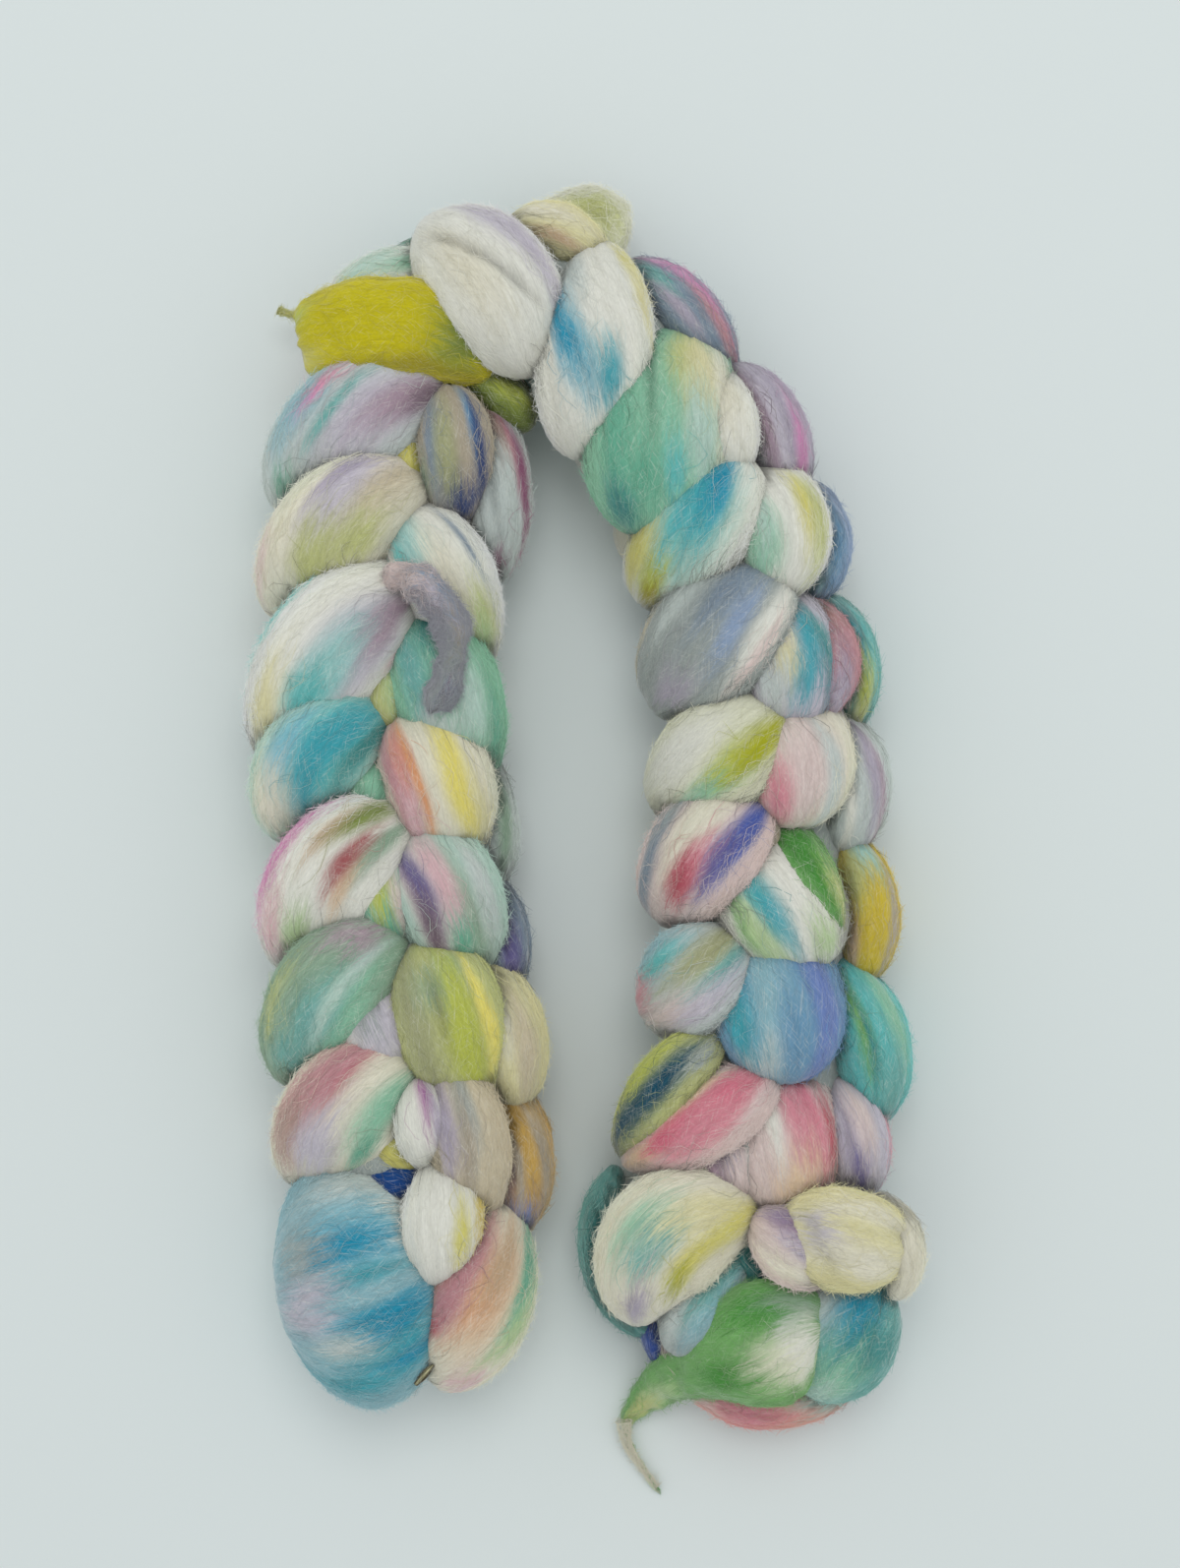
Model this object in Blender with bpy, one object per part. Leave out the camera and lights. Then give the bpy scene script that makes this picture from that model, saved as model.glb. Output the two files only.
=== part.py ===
"""Braid of wool roving: one long strand of combed wool top, chained by hand into a fat
braid and laid on a table in an upside-down U.

Frame: metres, +Z up, the braid lies on the plane z = 0. +Y points from the two ends of
the braid to its bend and +X from the left leg to the right leg. The origin is under the
middle of the whole object's box.

The braid is one solid. It is the union of its lobes, which are the lengths of strand
that show between two places where the chain pinches it, with the core and the underside
that they lie on. Four loose ends of the strand are flat tongues, each a solid of its own.
"""

import math

import bmesh
import bpy
from mathutils import Quaternion, Vector

MM = 0.001

# Driving sizes, in millimetres.
STRAND_PITCH = 31.0      # one stitch of the chain to the next, along the braid
CORE_WIDTH = 42.0        # the packed middle of the braid, across
CORE_HEIGHT = 30.0       # and its thickness
CORE_MIDDLE = 20.0       # height of the core's centreline above the table
UNDER_WIDTH = 34.0       # a lobe on the underside, along the braid
UNDER_HEIGHT = 26.0
UNDER_MIDDLE = 9.3       # its centreline; what reaches below the table is pressed flat
UNDER_HALF_SPAN = 26.0   # how far it reaches to either side of the spine
UNDER_SKEW = 0.35        # how far its far end runs on along the spine, as a share of the span
END_GAP = 0.8            # clear space between a loose end and the braid
TONGUE_NOSE = 3          # a tongue runs on past its end sections by thickness over this
TABLE_SLAB = (600, 800, 60)  # the block that stands in for the table
# The object's own origin in the tables' frame, which has its zero midway between the legs.
ORIGIN_X, ORIGIN_Y = -1.49, -17.69

BIG_STEPS, SMALL_STEPS = (10, 8), (8, 6)  # sides and rings of a lobe
SMALL_KINDS = ("back", "tuck", "under")
TONGUE_SIDES = 10
SHORTEST_EDGE = 1.6      # between two crossing lobes; a shorter one is merged

# How each kind of lobe runs. flat is thickness over width. drop_a and drop_b are how far
# the centreline falls from its middle to its first and last end. tip_a and tip_b are how
# its ends close: 0.5 is round, 1 is pointed, under 0.5 is blunt. peak is where along it
# the lobe is widest. roll, in degrees, lifts one edge onto the lobe beside it.
KINDS = {
    "left_over_above": dict(flat=0.66, drop_a=18, drop_b=5, tip_a=0.32, tip_b=0.46, peak=0.50, roll=18),
    "left_over_below": dict(flat=0.66, drop_a=18, drop_b=5, tip_a=0.36, tip_b=0.44, peak=0.52, roll=-20),
    "right_over_above": dict(flat=0.80, drop_a=6, drop_b=18, tip_a=0.50, tip_b=0.40, peak=0.45, roll=0),
    "right_over_below": dict(flat=0.80, drop_a=18, drop_b=5, tip_a=0.40, tip_b=0.50, peak=0.55, roll=0),
    "bend": dict(flat=0.86, drop_a=13, drop_b=8, tip_a=0.55, tip_b=0.45, peak=0.52, roll=0),
    "back": dict(flat=1.35, drop_a=5, drop_b=6, tip_a=0.50, tip_b=0.50, peak=0.50, roll=0),
    "tuck": dict(flat=1.00, drop_a=5, drop_b=5, tip_a=0.50, tip_b=0.50, peak=0.50, roll=0),
    "end": dict(flat=0.60, drop_a=6, drop_b=6, tip_a=0.50, tip_b=0.50, peak=0.50, roll=0),
}

# name, kind, first end x y, last end x y, bow of the middle to the left of the way it
# runs, width, height of its top above the table.
LOBES = (
    # the left leg, from its end upwards
    ("l1_blue", "end", -88, -146, -43, -138, 0, 73, 46),
    ("l1_egg", "bend", -39, -104, -45, -141, 0, 24, 46),
    ("l1_fan", "bend", -32, -114, -44, -172, 7, 31, 42),
    ("l2_rose", "left_over_above", -79, -115, -49, -79, 6, 37, 44),
    ("l2_shell", "right_over_above", -48, -84, -46, -111, 0, 16, 45),
    ("l2_sand", "right_over_above", -41, -79, -33, -126, 3, 23, 45),
    ("l2_amber", "back", -27, -84, -23, -131, 5, 19, 34),
    ("l2_lemon", "tuck", -62, -98, -46, -106, 0, 18, 38),
    ("l2_navy", "tuck", -64, -110, -46, -114, 0, 18, 36),
    ("l3_green", "left_over_above", -81, -86, -52, -43, 8, 34, 46),
    ("l3_lilac", "right_over_above", -65, -55, -54, -87, 0, 24, 42),
    ("l3_lime", "right_over_above", -48, -45, -37, -95, 3, 33, 47),
    ("l3_cream", "back", -34, -50, -23, -94, 5, 22, 39),
    ("l4_rose", "left_over_above", -82, -53, -50, -11, 8, 36, 47),
    ("l4_pale", "right_over_above", -56, -18, -60, -50, 0, 22, 42),
    ("l4_violet", "right_over_above", -49, -14, -36, -56, 3, 31, 46),
    ("l4_slate", "back", -30, -26, -26, -65, 3, 15, 31),
    ("l5_aqua", "left_over_above", -85, -15, -57, 20, 8, 32, 45),
    ("l5_mint", "tuck", -60, 7, -64, -13, 0, 18, 40),
    ("l5_coral", "right_over_above", -52, 20, -40, -24, 3, 32, 46),
    ("l5_mist", "back", -36, 13, -30, -32, 4, 17, 31),
    ("l6_white", "left_over_above", -84, 5, -49, 56, 9, 39, 48),
    ("l6_lime", "tuck", -55, 36, -59, 16, 0, 18, 40),
    ("l6_teal", "right_over_above", -51, 47, -37, -2, 4, 31, 45),
    ("l7_cream", "left_over_above", -86, 48, -46, 84, 8, 34, 47),
    ("l7_white", "right_over_above", -53, 77, -35, 32, 4, 28, 45),
    ("l8_mauve", "left_over_above", -84, 78, -40, 111, 8, 37, 46),
    ("l8_lemon", "tuck", -53, 104, -53, 82, 0, 18, 40),
    ("l8_beige", "right_over_above", -41, 112, -41, 72, 3, 21, 45),
    ("l8_plum", "back", -34, 114, -30, 57, 6, 19, 37),
    # the bend
    ("t1_pale", "end", -75, 126, -40, 145, 4, 24, 37),
    ("t1_olive", "tuck", -38, 120, -17, 103, 0, 17, 34),
    ("t1_teal", "tuck", -57, 149, -44, 154, 0, 12, 26),
    ("t2_white", "bend", -49, 158, -16, 117, 5, 37, 52),
    ("t2_cream", "tuck", -24, 158, 3, 150, 3, 17, 38),
    ("t3_cyan", "bend", 3, 155, -4, 93, 2, 33, 50),
    ("t3_pink", "back", 9, 149, 39, 113, 4, 21, 36),
    # the right leg, from the bend downwards
    ("r1_green", "right_over_below", 28, 131, 15, 71, -1, 44, 50),
    ("r1_white", "right_over_below", 36, 120, 40, 86, 0, 19, 44),
    ("r1_mauve", "back", 38, 120, 57, 80, 4, 22, 38),
    ("r2_aqua", "left_over_below", 15, 54, 43, 92, 0, 34, 47),
    ("r2_white", "right_over_below", 46, 91, 50, 54, 6, 27, 46),
    ("r2_blue", "back", 60, 87, 61, 51, 7, 15, 35),
    ("r3_slate", "left_over_below", 19, 24, 52, 60, 0, 39, 48),
    ("r3_swirl", "right_over_below", 51, 57, 53, 15, 5, 26, 46),
    ("r3_rim", "right_over_below", 60, 54, 63, 18, 7, 14, 42),
    ("r3_jade", "back", 66, 54, 72, 14, 6, 18, 35),
    ("r4_ivory", "left_over_below", 19, -5, 54, 21, 0, 33, 47),
    ("r4_blush", "right_over_below", 60, 26, 52, -10, 4, 31, 47),
    ("r4_haze", "back", 66, 20, 71, -20, 6, 24, 38),
    ("r5_royal", "left_over_below", 20, -38, 48, -4, 3, 32, 47),
    ("r5_milk", "right_over_below", 43, -13, 60, -54, 2, 36, 47),
    ("r5_leaf", "right_over_below", 50, -6, 67, -47, 2, 17, 45),
    ("r5_gold", "back", 73, -14, 77, -58, 5, 18, 36),
    ("r5_tan", "tuck", 47, -6, 50, -22, 0, 11, 41),
    ("r6_sage", "left_over_below", 18, -67, 40, -43, 0, 31, 45),
    ("r6_blue", "right_over_below", 52, -41, 51, -83, 2, 38, 48),
    ("r6_teal", "back", 68, -50, 82, -98, 5, 23, 38),
    ("r7_olive", "left_over_below", 11, -109, 38, -69, 5, 19, 43),
    ("r7_rose", "left_over_below", 10, -108, 52, -82, 0, 23, 46),
    ("r7_veil", "right_over_below", 47, -82, 36, -120, 0, 25, 41),
    ("r7_shell", "right_over_below", 54, -77, 52, -122, 2, 33, 43),
    ("r7_lilac", "back", 71, -85, 75, -119, 3, 20, 39),
    # the end of the right leg, curled round on itself
    ("r8_ivory", "bend", 14, -155, 48, -120, 13, 35, 50),
    ("r8_teal", "back", 8, -112, 20, -162, -9, 16, 24),
    ("r8_mauve", "end", 46, -122, 69, -138, 0, 21, 48),
    ("r8_butter", "end", 52, -125, 90, -130, 0, 29, 51),
    ("r8_fold", "tuck", 81, -116, 86, -146, 5, 12, 44),
    ("r9_deep", "tuck", 41, -124, 49, -144, 0, 18, 36),
    ("r9_grey", "bend", 46, -127, 26, -163, -3, 23, 40),
    ("r9_navy", "tuck", 20, -147, 24, -172, -2, 11, 18),
    ("r9_pearl", "tuck", 30, -150, 29, -174, 0, 18, 26),
    ("r9_sea", "end", 54, -154, 88, -157, 0, 44, 38),
    ("r9_coral", "tuck", 79, -171, 29, -176, 5, 17, 24),
    ("r9_nest", "end", 34, -158, 66, -160, 0, 34, 33),
)

# The braid's spine: x, y of the middle of the chain, from the left end to the right end.
SPINE = (
    (-62, -152), (-60, -110), (-60, -70), (-60, -20), (-62, 30), (-62, 75), (-58, 112),
    (-40, 134), (-14, 138), (8, 124), (24, 97), (37, 66), (46, 34), (51, 0), (53, -40),
    (52, -80), (50, -118), (50, -150),
)

# Loose ends: x, y, height of the centreline, width and thickness, a row for each section.
TONGUES = {
    # the yellow end, laid over the top left of the braid and under the white lobe
    "yellow_end": (
        (-80.5, 125, 36, 15, 5), (-78, 125.5, 37, 21, 9), (-69, 127, 40, 26, 13),
        (-58, 128, 41, 28, 14), (-47, 127, 40, 27, 14), (-37, 123, 36, 20, 13),
        (-29, 120, 30, 13, 9),
    ),
    # the green end that comes out of the curl and tapers to a wisp on the table
    "green_tail": (
        (66, -153, 31, 10, 6), (60, -153, 36, 25, 9), (52, -156, 38, 34, 11),
        (43, -161, 37, 33, 11), (34, -166, 30, 21, 9), (25, -172, 17, 14, 7),
        (17, -180, 6, 10, 5), (11.5, -187, 2.5, 5, 3.5), (10.5, -192, 1.5, 2.6, 2.4),
        (13.5, -199, 1.5, 2.2, 2.2), (17.5, -206, 1.5, 2.2, 2.2), (19, -208, 1.5, 1.6, 1.6),
    ),
    # the pale green tuft that shows past the bend
    "pale_tuft": (
        (6, 154, 20, 8, 6), (5, 159, 19, 14, 9), (2, 164, 17, 17, 9),
        (-4, 167, 15, 13, 8), (-10, 167, 14, 8, 6), (-14, 166, 14, 4, 3),
    ),
    # the lilac lock that lies in a hook on the left leg
    "lilac_lock": (
        (-56, 57, 41, 4, 4), (-51, 57.5, 46, 7, 6), (-44, 53, 49, 9, 7),
        (-38.5, 45, 48, 9.5, 7), (-37.5, 37, 47, 8, 7), (-40, 29, 48, 7.5, 7),
        (-42.5, 22, 47, 6, 5),
    ),
}

COLOURS = {
    "braid": (0.80, 0.80, 0.74),
    "yellow_end": (0.70, 0.66, 0.06),
    "green_tail": (0.36, 0.58, 0.28),
    "pale_tuft": (0.66, 0.74, 0.42),
    "lilac_lock": (0.55, 0.53, 0.58),
}
WOOL_ROUGHNESS = 0.95


def clear_scene():
    for obj in list(bpy.data.objects):
        bpy.data.objects.remove(obj)


def wool(name, colour):
    material = bpy.data.materials.new(name)
    material.use_nodes = True
    shader = material.node_tree.nodes["Principled BSDF"]
    shader.inputs["Base Color"].default_value = (*colour, 1)
    shader.inputs["Roughness"].default_value = WOOL_ROUGHNESS
    shader.inputs["Metallic"].default_value = 0
    return material


def centreline(lobe):
    """The three control points of a lobe's arc, in millimetres, and its thickness."""
    _, kind, ax, ay, bx, by, bow, width, top = lobe
    shape = KINDS[kind]
    thickness = width * shape["flat"]
    middle_z = top - thickness / 2
    a = Vector((ax, ay, middle_z - shape["drop_a"]))
    b = Vector((bx, by, middle_z - shape["drop_b"]))
    along = (b - a).xy
    side = Vector((-along.y, along.x)).normalized()
    middle = Vector((*((a + b).xy / 2 + bow * side), middle_z))
    return a, 2 * middle - (a + b) / 2, b, thickness


def on_arc(a, control, b, t):
    """Point and tangent of the arc at t."""
    point = (1 - t) ** 2 * a + 2 * t * (1 - t) * control + t * t * b
    tangent = 2 * (1 - t) * (control - a) + 2 * t * (b - control)
    return point, tangent.normalized()


def fullness(t, shape):
    """Width at t as a share of the widest."""
    warped = t ** (math.log(0.5) / math.log(shape["peak"]))
    tip = shape["tip_a"] * (1 - warped) + shape["tip_b"] * warped
    return (4 * warped * (1 - warped)) ** tip if 0 < warped < 1 else 0.0


def drawn_sphere(sides, rings):
    """A UV sphere, whose poles become the two ends of what is drawn out of it."""
    mesh = bmesh.new()
    bmesh.ops.create_uvsphere(mesh, u_segments=sides, v_segments=rings, radius=1)
    return mesh


def lobe_mesh(lobe):
    """A ball of wool drawn out along the lobe's arc."""
    a, control, b, thickness = centreline(lobe)
    shape, width = KINDS[lobe[1]], lobe[7]
    mesh = drawn_sphere(*(SMALL_STEPS if lobe[1] in SMALL_KINDS else BIG_STEPS))
    for vert in mesh.verts:
        t = (1 - max(-1.0, min(1.0, vert.co.z))) / 2
        point, tangent = on_arc(a, control, b, t)
        side = tangent.cross(Vector((0, 0, 1))).normalized()
        side.rotate(Quaternion(tangent, math.radians(shape["roll"])))
        up = side.cross(tangent)
        around = math.atan2(vert.co.y, vert.co.x)
        full = fullness(t, shape) / 2
        vert.co = (
            point
            + side * (width * full * math.cos(around))
            + up * (thickness * full * math.sin(around))
        )
    return mesh


def finish_mesh(name, mesh):
    """An object, in metres and in the object's own frame, of a mesh that is in millimetres."""
    for vert in mesh.verts:
        vert.co = (vert.co - Vector((ORIGIN_X, ORIGIN_Y, 0))) * MM
    bmesh.ops.triangulate(mesh, faces=mesh.faces)
    data = bpy.data.meshes.new(name)
    mesh.to_mesh(data)
    mesh.free()
    return bpy.data.objects.new(name, data)


def spine_at(distance):
    """Point and direction of the spine at that distance from its left end."""
    for first, second in zip(SPINE, SPINE[1:]):
        step = Vector(second) - Vector(first)
        if distance <= step.length:
            return Vector(first) + step.normalized() * distance, step.normalized()
        distance -= step.length
    return Vector(SPINE[-1]), (Vector(SPINE[-1]) - Vector(SPINE[-2])).normalized()


def spine_length():
    return sum((Vector(b) - Vector(a)).length for a, b in zip(SPINE, SPINE[1:]))


def stitches():
    """Distances along the spine of the middles of the stitches."""
    count = round(spine_length() / STRAND_PITCH)
    pitch = spine_length() / count
    return [(i + 0.5) * pitch for i in range(count)]


def under_lobes():
    """The underside of the braid, a lobe across it for every stitch."""
    made = []
    for i, distance in enumerate(stitches()):
        middle, way = spine_at(distance)
        across = Vector((way.y, -way.x)) + way * UNDER_SKEW
        a = middle - across.normalized() * UNDER_HALF_SPAN
        b = middle + across.normalized() * UNDER_HALF_SPAN
        top = UNDER_MIDDLE + UNDER_HEIGHT / 2
        made.append((f"under_{i}", "under", *a, *b, 0, UNDER_WIDTH, top))
    return made


KINDS["under"] = dict(
    flat=UNDER_HEIGHT / UNDER_WIDTH, drop_a=-3, drop_b=-3, tip_a=0.4, tip_b=0.4, peak=0.5, roll=0
)


def tongue_mesh(sections, grow=0.0):
    """A flat tongue lofted through its sections, grown all round by a gap."""
    points = [Vector(row[:3]) for row in sections]
    mesh = drawn_sphere(TONGUE_SIDES, len(sections) + 1)
    rings = sorted({round(v.co.z, 4) for v in mesh.verts}, reverse=True)
    for vert in mesh.verts:
        ring = rings.index(round(vert.co.z, 4)) - 1
        row = min(max(ring, 0), len(sections) - 1)
        before, after = points[max(row - 1, 0)], points[min(row + 1, len(points) - 1)]
        tangent = (after - before).normalized()
        side = tangent.cross(Vector((0, 0, 1))).normalized()
        up = side.cross(tangent)
        if ring != row:
            outward = -1 if ring < 0 else 1
            vert.co = points[row] + tangent * outward * (sections[row][4] / TONGUE_NOSE + grow)
            continue
        around = math.atan2(vert.co.y, vert.co.x)
        width, thickness = sections[row][3] / 2 + grow, sections[row][4] / 2 + grow
        vert.co = (
            points[row]
            + side * (width * math.cos(around))
            + up * (thickness * math.sin(around))
        )
    return mesh


def boolean(obj, operation, other):
    """Joins other to obj, or cuts it away, and removes it."""
    collection = bpy.context.scene.collection
    for each in (obj, other):
        if each.name not in collection.objects:
            collection.objects.link(each)
    modifier = obj.modifiers.new(operation.lower(), "BOOLEAN")
    modifier.operation = operation
    modifier.object = other
    # In so long a chain of unions EXACT now and then loses a leg, and MANIFOLD doesn't.
    modifier.solver = "MANIFOLD"
    graph = bpy.context.evaluated_depsgraph_get()
    made = bpy.data.meshes.new_from_object(obj.evaluated_get(graph))
    obj.modifiers.clear()
    obj.data = made
    bpy.data.objects.remove(other)


def merge_short_edges(obj):
    """Takes out the slivers that the unions leave, and keeps the skin closed."""
    mesh = bmesh.new()
    mesh.from_mesh(obj.data)
    bmesh.ops.triangulate(mesh, faces=mesh.faces)
    welds = {None: None}
    while welds:
        welds, near = {}, set()
        for edge in sorted(mesh.edges, key=bmesh.types.BMEdge.calc_length):
            if edge.calc_length() > SHORTEST_EDGE * MM:
                break
            ends = [{other.other_vert(v) for other in v.link_edges} for v in edge.verts]
            corners = ends[0] & ends[1]
            simple = len(corners) == 2 and all(len(v.link_edges) > 3 for v in corners)
            if simple and not near & (ends[0] | ends[1]):
                near |= ends[0] | ends[1]
                welds[edge.verts[0]] = edge.verts[1]
        bmesh.ops.weld_verts(mesh, targetmap=welds)
    mesh.to_mesh(obj.data)
    mesh.free()


def keep_outer_skin(obj):
    """Drops the skins of the small pockets that the lobes close off inside the braid."""
    mesh = bmesh.new()
    mesh.from_mesh(obj.data)
    left, shells = set(mesh.verts), []
    while left:
        todo, shell = [left.pop()], []
        while todo:
            vert = todo.pop()
            shell.append(vert)
            for edge in vert.link_edges:
                other = edge.other_vert(vert)
                if other in left:
                    left.remove(other)
                    todo.append(other)
        shells.append(shell)
    outer = max(shells, key=len)
    inner = [v for shell in shells if shell is not outer for v in shell]
    bmesh.ops.delete(mesh, geom=inner, context="VERTS")
    mesh.to_mesh(obj.data)
    mesh.free()


def table_cutter():
    """A slab under the table's plane, which presses the underside flat."""
    mesh = bmesh.new()
    bmesh.ops.create_cube(mesh, size=1)
    for vert in mesh.verts:
        vert.co = (vert.co - Vector((0, 0, 1)) / 2) * Vector(TABLE_SLAB)
    return finish_mesh("table_cutter", mesh)


def make_braid():
    core = [(x, y, CORE_MIDDLE, CORE_WIDTH, CORE_HEIGHT) for x, y in SPINE[1:-1]]
    braid = finish_mesh("braid", tongue_mesh(core))
    for row in under_lobes() + list(LOBES):
        boolean(braid, "UNION", finish_mesh(row[0], lobe_mesh(row)))
    keep_outer_skin(braid)
    merge_short_edges(braid)
    for name, sections in TONGUES.items():
        cutter = finish_mesh(name + "_cutter", tongue_mesh(sections, END_GAP))
        boolean(braid, "DIFFERENCE", cutter)
    boolean(braid, "DIFFERENCE", table_cutter())
    keep_outer_skin(braid)
    return braid


def main():
    clear_scene()
    parts = bpy.data.collections.new("braid of wool roving")
    bpy.context.scene.collection.children.link(parts)
    braid = make_braid()
    bpy.context.scene.collection.objects.unlink(braid)
    pieces = [braid]
    for name, sections in TONGUES.items():
        pieces.append(finish_mesh(name, tongue_mesh(sections)))
    for piece in pieces:
        parts.objects.link(piece)
        piece.data.materials.clear()
        piece.data.materials.append(wool(piece.name, COLOURS[piece.name]))
        piece.data.shade_smooth()


main()
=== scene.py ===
"""The looks of a braid of wool roving: hand-dyed combed wool top, chained by hand into a fat
braid that lies on a table in an upside-down U.

The tables are in millimetres, in the table frame: x and y are measured from a point midway
between the legs, z from the table. The model's own frame is in metres, with its origin
under the middle of its box. Colours are written as display values from 0 to 255.
"""

import math

import bpy
import numpy as np
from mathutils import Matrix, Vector


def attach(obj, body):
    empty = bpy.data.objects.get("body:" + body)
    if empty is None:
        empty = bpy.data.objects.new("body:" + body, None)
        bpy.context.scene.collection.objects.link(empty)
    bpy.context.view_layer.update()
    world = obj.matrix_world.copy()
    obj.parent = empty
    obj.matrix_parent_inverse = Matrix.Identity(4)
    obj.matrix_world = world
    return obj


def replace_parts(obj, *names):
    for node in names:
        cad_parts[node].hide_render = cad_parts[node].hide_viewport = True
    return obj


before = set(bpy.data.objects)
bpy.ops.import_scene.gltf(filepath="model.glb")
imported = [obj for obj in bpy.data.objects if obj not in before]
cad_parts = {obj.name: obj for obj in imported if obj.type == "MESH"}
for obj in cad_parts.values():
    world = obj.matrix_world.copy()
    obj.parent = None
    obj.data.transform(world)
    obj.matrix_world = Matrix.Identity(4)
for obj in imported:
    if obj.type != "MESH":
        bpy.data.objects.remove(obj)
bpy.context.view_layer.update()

MM = 0.001
ORIGIN = np.array([-1.49, -17.69, 0.0])  # the model's origin in the table frame
SEED = 20
NEVER_ZERO = 1e-9  # keeps a division from failing

# Sizes of a face of the wool, in mm: what shows from above, and what doesn't.
FINE, COARSE = (1.9, 1.3), (3.0, 2.2)
FLOOR_CLEAR = 0.15  # wool on the table stays this far above it
TIP_RINGS = 10  # rings of faces that a lobe has besides, for its tips
FEWEST_AROUND = 12  # faces round a thin tongue
POLE_REACH = 3  # a tongue's poles are past its ends by thickness over this

# The core along the spine, and the lobes across it underneath, one to each stitch.
CORE_WIDTH, CORE_HEIGHT, CORE_MIDDLE = 42.0, 30.0, 20.0
STRAND_PITCH = 31.0
UNDER_WIDTH, UNDER_HEIGHT, UNDER_MIDDLE, UNDER_HALF_SPAN = 34.0, 26.0, 9.3, 26.0
UNDER_SKEW = 0.35  # how far they slant along the spine

# The relief of the skin: folds as a share of the radius, locks and strands in mm, and the
# length and width of a patch of each, along and across the fibres.
FOLDS, LOCKS, STRANDS, END_LOCKS = 0.035, 0.55, 0.22, 0.2
FOLD_LENGTH, FOLDS_AROUND = 35, 4
LOCK_PATCH, SWELL_PATCH, STRAND_PATCH = (30, 6.5), (40, 6.5), (14, 2.4)
LOCK_SWELL, GROOVE_NARROW = 0.5, 3.5  # how far a lock swells, and how narrow its grooves are
MOST_RELIEF = 0.2  # of the radius

# Creases: half the width of a groove, the painted shade that each mm of its depth gives,
# how much it fades at its ends, and the lobe, from where to where, and how deep.
CREASE_WIDTH, CREASE_PAINTED_SHADE, CREASE_FADE = 1.5, 0.14, 0.15
CREASES = (
    ("t2_white", -46, 153, -31, 148, 2.2), ("t2_white", -33, 148, -15, 134, 2.4),
    ("r8_butter", 60, -119, 70, -139, 1.4), ("r8_butter", 84, -121, 90, -130, 1.2),
    ("r8_butter", 90, -130, 88, -140, 1.2), ("r1_green", 17, 123, 17, 97, 2.0),
    ("l3_lime", -46, -52, -39, -73, 2.0),
)

# Each loose end: its slot, the piece of wool that it lies on, its flat width and length in
# metres, how ragged its edges are and how far locks are drawn out past its first and last end
# in mm, and how many loose fibres it has.
ENDS = {
    "yellow_end": ("yellow_wool", "left_leg_wool", (0.028, 0.06), (0.8, 2.5, 0.0), 1800),
    "green_tail": ("green_wool", "right_leg_end_wool", (0.03, 0.09), (0.9, 0.0, 3.0), 2600),
    "pale_tuft": ("pale_wool", "bend_wool", (0.017, 0.032), (1.6, 3.0, 3.0), 3000),
    "lilac_lock": ("lilac_wool", "left_leg_wool", (0.011, 0.06), (1.9, 3.0, 3.0), 5200),
}
RAGGED_PATCH, MOST_RAGGED = (3.5, 6), 0.45  # length and width of a tear, and its share of the radius
TEASED_WIDTH, FEWEST_TEASED = 1.6, 4  # width and least number of the locks drawn out
FRAY_DEPTH = 7.0  # how far from a loose end its fraying goes
THREAD, THREAD_BELOW = 0.6, 4.0  # a loose end this narrow is drawn finer by that much

# Wisps drawn out of the loose ends: x, y, z, width and thickness, from root to tip.
WISPS = {
    "yellow_end_wisp": ((-76, 136, 14, 4.0, 2.5), (-82, 137.5, 13.5, 2.0, 1.5),
                        (-87, 137, 12, 1.4, 1.0), (-91, 138.5, 11, 1.8, 1.0)),
    "green_tail_wisp": ((10, -188, 5, 4.0, 2.5), (11, -195, 3.5, 2.2, 1.5),
                        (15, -202, 2.5, 1.5, 1.0), (20, -208, 2.0, 1.2, 0.8)),
}

# A bit of straw caught in the wool: the lobe it lies on, its lift in mm, the size of a face
# of it, and x, y, width and thickness along it.
STRAW_ON, STRAW_LIFT, STRAW_FACE = "l1_blue", 0.6, (0.8, 0.5)
STRAW = ((-49.4, -170.0, 1.3, 0.8), (-47.6, -168.0, 2.2, 1.2), (-45.8, -166.0, 2.1, 1.2),
         (-44.4, -164.4, 1.0, 0.8))

# How dye lies: mm between the places of a streak's two colours, how far the edge of a patch
# drifts along the fibres and wanders across them and in what patches, how sharply it ends (1
# is softest), and the exponent that halves it at its half length.
DYE_SPREAD = 2.2
DRIFT, DRIFT_PATCH = 3.0, (40, 1.4)
WANDER, WANDER_PATCH = 1.5, (12, 9)
PATCH_EDGE, PATCH_HALF = 1.7, 0.69
UNDERNEATH = 60.0  # keeps a patch off the lower side of the wool
DYE_TONE, PALEST = 0.88, 0.85  # how deep the dyes are, and the palest wool there is

# Maps of the wool from above: the size of a cell, how deep a point may lie and still show, and
# the painted shade in creases: how many cells away, how far below, and by what share it darkens.
MAP_CELL, SEEN_DEPTH, NOWHERE = 1.2, 1.2, -1e9
CREASE_SHADES = ((1, 4.0, 0.33), (2, 7.0, 0.20), (3, 9.0, 0.12))
# Painted light on rims: how much paler, how narrow, and how soon a crease takes that away.
RIM_LIGHT, END_RIM_LIGHT, RIM_POWER, RIM_CUT = 0.28, 0.15, 4, 6.0

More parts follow.
